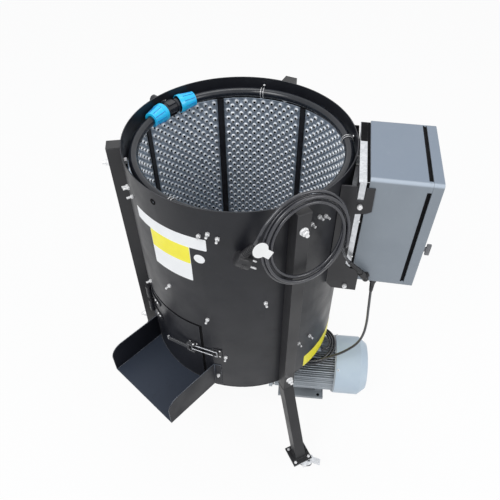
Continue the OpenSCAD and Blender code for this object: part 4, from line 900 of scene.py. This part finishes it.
# Black ring round the hole under the rim: painted shade that makes the small hole read as a wider dark hole
hole_shade_ring = Shape()
ring = [(4.1, -1.2), (4.1, 1.0), (5.2, 1.5), (7.0, 1.3), (8.0, 0.6), (8.2, -0.1)]
hole_shade_ring.lathe(on_drum(-132, 1074), ring, 28, 0, ends=False)
hole_shade_ring.make("rim_hole_shade", "frame", "seal_black", ["seal"], 50)


# Water tee and nuts
def tee_frame(s):
    az = TEE_AZ + s * NUT_TURN
    spot = turn(TEE_AZ, (-RING_SHIFT, 0, 0)) + turn(az, (RING_R, 0, RING_Z))
    return axes(spot, turn(az, (0, s, 0)))


nut_ribs = Shape()
tee_parts = Shape()
for s in (-1, 1):
    place = tee_frame(s)
    # Ten dark strips round each nut, in the groove look: painted shade in the nut's grooves.
    for k in range(10):
        spin_by = place @ Matrix.Rotation(2 * math.pi * (k + 0.5) / 10, 4, "Z")
        rows = []
        for h, r in ((-12.2, 24.2), (-11.6, 25.4), (8, 23.0), (22.8, 21.2), (23.8, 20.3)):
            row = []
            for y, drop in ((-1.2, 1.6), (-0.7, 0), (0.7, 0), (1.2, 1.6)):
                row.append(spin_by @ Vector((r - drop, y, h)))
            rows.append(row)
        nut_ribs.rings(rows, 1)
    outer_lip = [(20.0, 23.7), (21.0, 24.1), (21.0, 25.9), (19.6, 26.5), (13.4, 26.5)]
    inner_lip = [(23.4, -24.3), (23.9, -25.3), (25.2, -25.3), (25.9, -24.1)]
    washer = [(23.3, -24.4), (23.3, -24.75), (14.5, -24.75), (14.5, -24.4)]
    thread = [(16.2 if k % 2 else 14.9, -32.4 + 0.75 * k) for k in range(15)]
    nut_ribs.lathe(place, outer_lip, 40, 0, ends=False)
    nut_ribs.lathe(place, inner_lip, 40, 0, ends=False)
    tee_parts.lathe(place, washer, 40, 0, ends=False)
    tee_parts.lathe(place, thread, 28, 0)
    run = axes(drum_pt(TEE_AZ, TEE_R, RING_Z), turn(TEE_AZ, (0, s, 0)))
    tee_parts.lathe(run, [(17.4, 14.6), (19.8, 15.4), (19.8, 23.6), (18.6, 25.0), (13.0, 25.3)], 32, 0)
branch = on_drum(TEE_AZ, RING_Z, TEE_R)
tee_parts.lathe(branch, [(12.2, 14), (15.6, 15.5), (15.6, 20.5), (14.6, 21.6), (12.0, 22.0)], 28, 0)
for s in (-1, 1):
    web = [(-13, -13), (13, -13), (13, 13), (-13, 13)]
    flat = axes(drum_pt(TEE_AZ, TEE_R, RING_Z + 15.5 * s), (0, 0, s), turn(TEE_AZ, (1, 0, 0)))
    tee_parts.slab(flat, web, 0, 3.4, 1.2)
nut_ribs.make("nut_ribs", "frame", "nut_blue", ["nut", "groove"], 30)
tee_parts.make("tee_parts", "frame", "pipe_black", ["pipe"], 30)

clip_bands = Shape()
for az in CLIP_AZ:
    rel = math.radians(az - TEE_AZ)
    reach = math.sqrt(RING_R ** 2 - (RING_SHIFT * math.sin(rel)) ** 2) - RING_SHIFT * math.cos(rel)
    place = axes(drum_pt(az, reach, RING_Z), turn(az, (0, 1, 0)))
    for s in (-1, 1):
        band = [(14.9, 3.2 * s), (15.3, 3.4 * s), (15.3, 4.2 * s), (14.2, 4.5 * s)]
        clip_bands.lathe(place, band, 36, 0, ends=False)
    clip_bands.rivet(in_drum(az, 1084, 295.4), 6)
clip_bands.make("clip_bands", "frame", "bolt_zinc", ["bolt"])


# Weld beads, seam and rivets
welds = Shape()
for az in LEG_AZ.values():
    h = TUBE_HALF
    high = KNEE_Z + h * math.tan(SPLAY / 2)
    low = KNEE_Z - h * math.tan(SPLAY / 2)
    outer = LEG_R + h + (high - FOOT_TOP) * math.tan(SPLAY)
    inner = LEG_R - h + (low - FOOT_TOP) * math.tan(SPLAY)
    foot_ring = [(inner, -h), (outer, -h), (outer, h), (inner, h), (inner, -h)]
    welds.bead([turn(az, (x, y, FOOT_TOP + 1)) for x, y in foot_ring], 2.3)
    front_corners = [(LEG_R + h, -h, high), (LEG_R + h, h, high), (LEG_R - h, h, low)]
    side_corners = [(LEG_R + h, -h, high), (LEG_R - h, -h, low)]
    for corners in (front_corners, side_corners):
        welds.bead([turn(az, p) for p in corners], 1.1)
seam = [drum_pt(100, 299.8, 369 + 8 * k) for k in range(92)]
welds.bead(seam, 1.6)
hem = [drum_pt(-112 + 3 * k, 299.4, 366) for k in range(72)]
welds.bead(hem, 1.4)
welds.make("weld_beads", "frame", "leg_paint", ["leg"], 80)

rivets = Shape()
for z in HINGE_Z:
    for dz in (-15, 15):
        rivets.rivet(on_drum(-162, z + dz, 303.3), 7)
for dz in (-14, 14):
    rivets.rivet(on_drum(-103.8, LATCH_Z + dz, 302.3), 5.5)
rivets.make("frame_rivets", "frame", "bolt_zinc", ["bolt"])

# Black strips with rivets inside the shell behind the door's latch and top edges: door stops, and painted
# shade that darkens the door's gaps.
stops = Shape()
stops.sheet(-118, -111.5, 378, 672, 295.2, 297.6, 2)
stops.sheet(-154.2, -111.5, 648, 672, 295.2, 297.6, 2)
for k in range(7):
    stops.rivet(in_drum(-112.6, 400 + 42 * k, 295.4), 6)
stops.make("door_stops_and_gap_shade", "frame", "seal_black", ["seal"], 30)

door_rivets = Shape()
for z in HINGE_Z:
    for az in (-147.2, -149.6):
        door_rivets.rivet(on_drum(az, z, 303.5), 6.5)
for dx in (-15, 8):
    for dz in (-17, 17):
        az = LATCH_AZ + math.degrees(dx / DRUM_R)
        door_rivets.rivet(on_drum(az, LATCH_Z + dz, 302.2), 4.5)
door_rivets.make("door_rivets", "door", "bolt_zinc", ["bolt"])


# Control box details
BOX_CORNER_R = 10


def corner_run(sy, sz, along_y, along_z):
    """Points and outward directions round one corner of the box, as y, z, their y and their z."""
    y = BOX_Y + BOX_HALF_W * sy
    z = BOX_Z + BOX_HALF_H * sz
    cy = y - BOX_CORNER_R * sy
    cz = z - BOX_CORNER_R * sz
    pts = [(cy - along_y * sy, z, 0, sz)]
    for k in range(7):
        a = math.radians(90 - 15 * k)
        ny = math.cos(a) * sy
        nz = math.sin(a) * sz
        pts.append((cy + BOX_CORNER_R * ny, cz + BOX_CORNER_R * nz, ny, nz))
    pts.append((y, cz - along_z * sz, sy, 0))
    return pts


bridges = Shape()
for sy, sz, along_y, along_z in ((-1, 1, 2, 14), (1, 1, 2, 14), (-1, -1, 4, 9), (1, -1, 4, 9)):
    rows = []
    for y, z, ny, nz in corner_run(sy, sz, along_y, along_z):
        row = []
        for x, inset in ((462.6, 0.05), (469.55, 0.05), (469.55, 2.8), (462.6, 2.8)):
            row.append(box_pt(x, y - ny * inset, z - nz * inset))
        rows.append(row)
    bridges.rings(rows)
bridges.make("box_bridges", "frame", "box_paint", ["box"], 50)

face = Shape()
knob_plate = on_face(BOX_Y, KNOB_Z)
face.slab(knob_plate, round_outline(66, 66, 9), 0.05, 1.2, 0.5, 0)
for k in range(9):
    a = math.radians(-45 + 22.5 * k)
    tick = knob_plate @ Matrix.Rotation(a, 4, "Z")
    size = 1.1 if k % 4 == 0 else 0.7
    far = 30.5 if k % 4 == 0 else 28.5
    outline = ((25.5, -size), (far, -size), (far, size), (25.5, size))
    face.rings([[tick @ Vector((x, y, h)) for x, y in outline] for h in (1.1, 1.45)], 1)
for y in (START_Y, STOP_Y):
    place = on_face(y, BUTTON_Z)
    collar = [(19.5, 0), (19.5, 1.8), (18.6, 3.2), (16.2, 4.0), (14.6, 4.4), (11.6, 4.4)]
    face.lathe(place, collar, 40, 0, ends=False)
    for spot in around(place, 24, 19.2):
        face.lathe(spot, [(0.9, 0.1), (0.9, 1.9), (0.5, 2.4)], 8, 0)
face.make("face_trim", "box_lid", "device_grey", ["cap", "white"])

for name, y, colour in (("start", START_Y, "green"), ("stop", STOP_Y, "red")):
    crown = Shape()
    dished = [(10.9, 9.2), (10.6, 10.1), (9.4, 10.5), (8.8, 10.2), (5, 9.9), (0.05, 9.8)]
    crown.lathe(on_face(y, BUTTON_Z), dished, 36, 0)
    crown.make(name + "_crown", name, "button_" + colour, [colour])

knob = Shape()
for spot in around(knob_plate, 30, 18.9):
    knob.lathe(spot, [(0.9, 6.4), (0.9, 13.6), (0.5, 14.2)], 8, 0)
pointer = ((4, -1.3), (16, -1.3), (16, 1.3), (4, 1.3))
rows = [[knob_plate @ Vector((x, y, h)) for x, y in pointer] for h in (23.9, 24.8)]
knob.rings(rows, 1)
knob.make("knob_grip", "knob", "cap_plastic", ["cap", "white"])

lock = Shape()
place = on_face(-105.5, 873)
lock.lathe(place, [(13, 4.2), (12.6, 5.0), (9.2, 5.4), (7.2, 6.6), (6.1, 6.8)], 32, 0, ends=False)
lock.lathe(place, [(6.1, 12.6), (7.2, 13.0), (7.2, 14.2), (6.0, 14.6)], 28, 0, ends=False)
lock.make("lock_collar", "lock", "bolt_zinc", ["hub"])

# Black strips beside the box door's seam on the box's sides and top, widening the seam's dark line.
seam_edges = Shape()
for sy in (-1, 1):
    flat = on_box((461.3, BOX_Y + BOX_HALF_W * sy, 930.5), (0, sy, 0))
    seam_edges.slab(flat, round_outline(307, 3.4, 1), -0.2, 0.35, 0.2)
flat = axes(box_pt(461.3, BOX_Y, BOX_TOP), (0, 0, 1), box_pt(0, 1, 0))
seam_edges.slab(flat, round_outline(231, 3.4, 1), -0.2, 0.35, 0.2)
seam_edges.make("seam_strips", "frame", "seal_black", ["seal"], 30)

hanger = Shape()
for z in (850, 975):
    hanger.rivet(on_box((321, -139.3, z), (0, -1, 0)), 6)
    hanger.rivet(on_box((321, 115.3, z), (0, 1, 0)), 6)
hanger.make("hanger_rivets", "frame", "bolt_zinc", ["bolt"])

# Black strips along the hanger's top and side, against the box's back edges.
edge_strips = Shape()
flat = axes(box_pt(325.3, BOX_Y, 1098), (0, 0, 1), box_pt(0, 1, 0))
edge_strips.slab(flat, round_outline(254, 6.6, 1), -0.1, 0.5, 0.2)
flat = axes(box_pt(313.4, 71, 1098), (0, 0, 1), box_pt(0, 1, 0))
edge_strips.slab(flat, round_outline(88, 17, 2), -0.1, 0.5, 0.2)
edge_strips.slab(on_box((325.3, -139.5, 910), (0, -1, 0)), round_outline(374, 6.6, 1), -0.1, 0.5, 0.2)
edge_strips.make("hanger_strips", "frame", "seal_black", ["seal"], 30)

devices = Shape()
for y, w, x in ((-72, 46, 419), (-2, 60, 391)):
    face_at = on_box((x, y + w / 2, BUTTON_Z), (1, 0, 0))
    for k in range(3):
        for s in (-1, 1):
            spot = face_at @ Matrix.Translation((s * 24, (k - 1) * w * 0.28, 0.4))
            devices.screw(spot, 7, 0, 1)
devices.make("device_screws", "frame", "bolt_zinc", ["bolt", "hole"])


# Motor details
def round_motor(x, r, a):
    return (x, MOTOR_Y + r * math.cos(a), MOTOR_Z + r * math.sin(a))


motor_bits = Shape()
for k in range(4):
    a = math.radians(45 + 90 * k)
    out = (0, math.cos(a), math.sin(a))
    motor_bits.screw(on_motor(round_motor(342, 102, a), out), 8, 0, 1)
for k in range(6):
    a = math.radians(30 + 60 * k)
    motor_bits.hex_nut(on_motor(round_motor(120, 89, a), (1, 0, 0)), 10, 5, 3)
# Dark rings on the motor's feet, in the near-black hole look: painted shade in place of the feet's bolt
# holes.
for x in (158, 288):
    for s in (-1, 1):
        spot = (x, MOTOR_Y + s * 76, 115)
        motor_bits.lathe(on_motor(spot, (0, 0, 1)), [(5.6, 0.05), (5.4, 0.5), (4.3, 0.4), (4.2, 0.1)], 24, 1)
for x in (198, 250):
    for y in (-109, -63):
        motor_bits.screw(on_motor((x, y, 349.2), (0, 0, 1)), 7, 0, 1)
motor_bits.make("motor_screws", "frame", "bolt_zinc", ["bolt", "hole"])

thin_fins = Shape()
for k in range(24):
    for s in (-2.5, 2.5):
        a = math.radians(15 * k + s)
        if math.cos(a) < -0.55:
            continue
        runs = [(128, 187), (262, 333)] if math.cos(a) > 0.85 else [(128, 333)]
        for start, stop in runs:
            rows = []
            for x, cut in ((start, 1.2), (start + 2, 0), (stop - 2, 0), (stop, 1.2)):
                row = []
                for r, t in ((80, -1.2), (93 - cut, -0.8), (93.6 - cut, 0), (93 - cut, 0.8), (80, 1.2)):
                    y = MOTOR_Y + r * math.sin(a) + t * math.cos(a)
                    row.append(motor_pt(x, y, MOTOR_Z + r * math.cos(a) - t * math.sin(a)))
                rows.append(row)
            thin_fins.rings(rows)
thin_fins.make("thin_fins", "frame", "motor_aluminium", ["fins"], 40)

lid = Shape()
lid_at = axes(motor_pt(224.3, -86, 347.3), (0, 0, 1), motor_pt(1, 0, 0))
lid.slab(lid_at, round_outline(67, 61, 5), -3.5, 2.0, 1.2)
lid.slab(lid_at, round_outline(44, 38, 8), 1.8, 3.0, 0.9)
lid.make("terminal_lid", "frame", "motor_aluminium", ["motor"])

gear_bits = Shape()
for k in range(6):
    a = 60 * k + 15
    gear_bits.hex_nut(axes(turn(a, (72, 0, 147)), (0, 0, -1)), 11, 5)
end_cap = [(30, 0), (30, 1.5), (27, 3), (9, 3.4), (0.05, 3.4)]
gear_bits.lathe(axes((0, 0, 141.2), (0, 0, -1)), end_cap, 40, 1)
gear_bits.hex_nut(axes(turn(150, (78, 0, 190)), turn(150, (1, 0, 0))), 17, 8, 5)
gear_bits.hex_nut(axes(turn(210, (78, 0, 240)), turn(210, (1, 0, 0))), 17, 8, 5)
for k in range(4):
    gear_bits.hex_nut(axes(turn(45 + 90 * k, (85, 0, 269.8)), (0, 0, -1)), 15, 7, 5)
gear_bits.make("gearbox_bolts", "frame", "bolt_zinc", ["bolt", "cast"])


# Casters
WHEEL_R = 25
TRAIL = 26
PEDAL_X = 44
PEDAL_Z = 50
PEDAL_TILT = math.radians(12)
SPOKE = ((-1.5, 0.1), (-1.1, 0.5), (1.1, 0.5), (1.5, 0.1))
TREAD_RIB = ((-9, 4.0), (-8.6, 4.8), (8.6, 4.8), (9, 4.0))
WHEEL_FACE = [(18.6, 0), (18.4, 0.35), (16.6, 0.45), (15.8, 0.15), (8.8, 0.15), (8.2, 0.5), (5.2, 0.5)]
for name, leg_az in LEG_AZ.items():
    trail_az = TRAIL_AZ[name]
    foot = turn(leg_az, (FOOT_R, 0, 0))
    ends = Shape()
    discs = Shape()
    for s in (-1, 1):
        outward = turn(trail_az, (0, s, 0))
        ends.hex_nut(axes(foot + turn(trail_az, (TRAIL, 14.2 * s, WHEEL_R)), outward), 12, 5, 3.4)
        ends.rivet(axes(foot + turn(trail_az, (PEDAL_X, 14.2 * s, PEDAL_Z)), outward), 8)
        wheel = axes(foot + turn(trail_az, (TRAIL, 9.95 * s, WHEEL_R)), outward)
        discs.lathe(wheel, WHEEL_FACE, 40, 0, ends=False)
        for arm in around(wheel, 6, 0):
            discs.rings([[arm @ Vector((x, y, h)) for y, h in SPOKE] for x in (8.4, 16.2)])
    ends.make("axle_ends_" + name, "fork_" + name, "brake_steel", ["bolt"])
    discs.make("hub_discs_" + name, "wheel_" + name, "wheel_rubber", ["hub"])
    toe = Shape()
    tread = Matrix.Translation(foot + turn(trail_az, (PEDAL_X, 0, PEDAL_Z)))
    tread = tread @ Matrix.Rotation(math.radians(trail_az), 4, "Z") @ Matrix.Rotation(PEDAL_TILT, 4, "Y")
    for k in range(5):
        ribs = (13 + 4 * k, 15 + 4 * k)
        toe.rings([[tread @ Vector((x, y, h)) for y, h in TREAD_RIB] for x in ribs])
    toe.make("pedal_ribs_" + name, "brake_" + name, "brake_steel", ["plate"])


# Latch lever tip and pivot heads
tip = Shape()
latch = Matrix.Rotation(math.radians(LATCH_AZ), 4, "Z") @ Matrix.Translation((DRUM_R, 0, LATCH_Z))
latch = latch @ Matrix.Rotation(math.radians(90), 4, "Z") @ Matrix.Translation((0, -9, 0))
rows = []
for k in range(9):
    a = math.radians(-90 + 25 * k)
    x = -86 - 3.2 * math.cos(a)
    y = -5 + 3.2 + 3.2 * math.sin(a)
    nx = -math.cos(a)
    ny = math.sin(a)
    row = []
    for z, off in ((-7, 0), (7, 0), (7, 1.6), (-7, 1.6)):
        row.append(latch @ Vector((x - nx * off, y - ny * off, z)))
    rows.append(row)
tip.rings(rows)
for s in (-1, 1):
    head = latch @ Matrix.Translation((0, 0, 19.4 * s)) @ Matrix.Rotation(0 if s > 0 else math.pi, 4, "X")
    tip.rivet(head, 6)
tip.make("lever_tip", "lever", "bolt_zinc", ["bolt"])


# Floor, light and background
def light_path_mask(tree):
    path = tree.nodes.new("ShaderNodeLightPath")
    total = None
    for name in ("Is Camera Ray", "Is Glossy Ray", "Is Transmission Ray"):
        if total is None:
            total = path.outputs[name]
            continue
        node = tree.nodes.new("ShaderNodeMath")
        node.operation = "MAXIMUM"
        tree.links.new(total, node.inputs[0])
        tree.links.new(path.outputs[name], node.inputs[1])
        total = node.outputs[0]
    return total


def add_floor():
    rings = [0.0, 0.6, 1.4, 3.0, 9.0]
    verts = [(0, 0, 0)]
    faces = []
    n = 64
    for r in rings[1:]:
        for k in range(n):
            a = 2 * math.pi * k / n
            verts.append((r * math.cos(a), r * math.sin(a), 0))
    for k in range(n):
        faces.append((0, 1 + k, 1 + (k + 1) % n))
    for i in range(len(rings) - 2):
        for k in range(n):
            a = 1 + i * n + k
            b = 1 + i * n + (k + 1) % n
            faces.append((a, a + n, b + n, b))
    mesh = bpy.data.meshes.new("floor")
    mesh.from_pydata(verts, [], faces)
    material = bpy.data.materials.new("floor_white")
    material.use_nodes = True
    tree = material.node_tree
    tree.nodes.clear()
    add = tree.nodes.new
    link = tree.links.new
    out = add("ShaderNodeOutputMaterial")
    matt = add("ShaderNodeBsdfDiffuse")
    matt.inputs["Color"].default_value = (0.86, 0.86, 0.87, 1)
    glow = add("ShaderNodeEmission")
    glow.inputs["Color"].default_value = (1, 1, 1, 1)
    share = add("ShaderNodeMath")
    share.operation = "MULTIPLY"
    share.inputs[1].default_value = 0.93
    mixer = add("ShaderNodeMixShader")
    link(light_path_mask(tree), share.inputs[0])
    link(share.outputs[0], mixer.inputs[0])
    link(matt.outputs[0], mixer.inputs[1])
    link(glow.outputs[0], mixer.inputs[2])
    link(mixer.outputs[0], out.inputs[0])
    mesh.materials.append(material)
    put("floor", mesh)


def add_world():
    world = bpy.data.worlds.new("studio")
    scene.world = world
    world.use_nodes = True
    tree = world.node_tree
    tree.nodes.clear()
    add = tree.nodes.new
    link = tree.links.new
    out = add("ShaderNodeOutputWorld")
    soft = add("ShaderNodeBackground")
    soft.inputs["Color"].default_value = (0.94, 0.97, 1.0, 1)
    soft.inputs["Strength"].default_value = 0.55
    white = add("ShaderNodeBackground")
    white.inputs["Color"].default_value = (1, 1, 1, 1)
    white.inputs["Strength"].default_value = 1.0
    mixer = add("ShaderNodeMixShader")
    link(light_path_mask(tree), mixer.inputs[0])
    link(soft.outputs[0], mixer.inputs[1])
    link(white.outputs[0], mixer.inputs[2])
    link(mixer.outputs[0], out.inputs[0])


def add_lamp(name, place, aim, size, power):
    data = bpy.data.lights.new(name, "AREA")
    data.shape = "DISK"
    data.size = size
    data.energy = power
    ob = put(name, data)
    direction = Vector(aim) - Vector(place)
    ob.matrix_world = direction.to_track_quat("-Z", "Y").to_matrix().to_4x4()
    ob.location = place


add_floor()
add_world()
add_lamp("key", (-1.5, -2.0, 3.4), (0, 0, 0.7), 1.8, 52)
add_lamp("fill", (2.4, -1.4, 2.4), (0.1, 0, 0.6), 1.6, 24)
add_lamp("top", (0.2, 0.6, 3.6), (0, 0, 0.6), 1.4, 15)
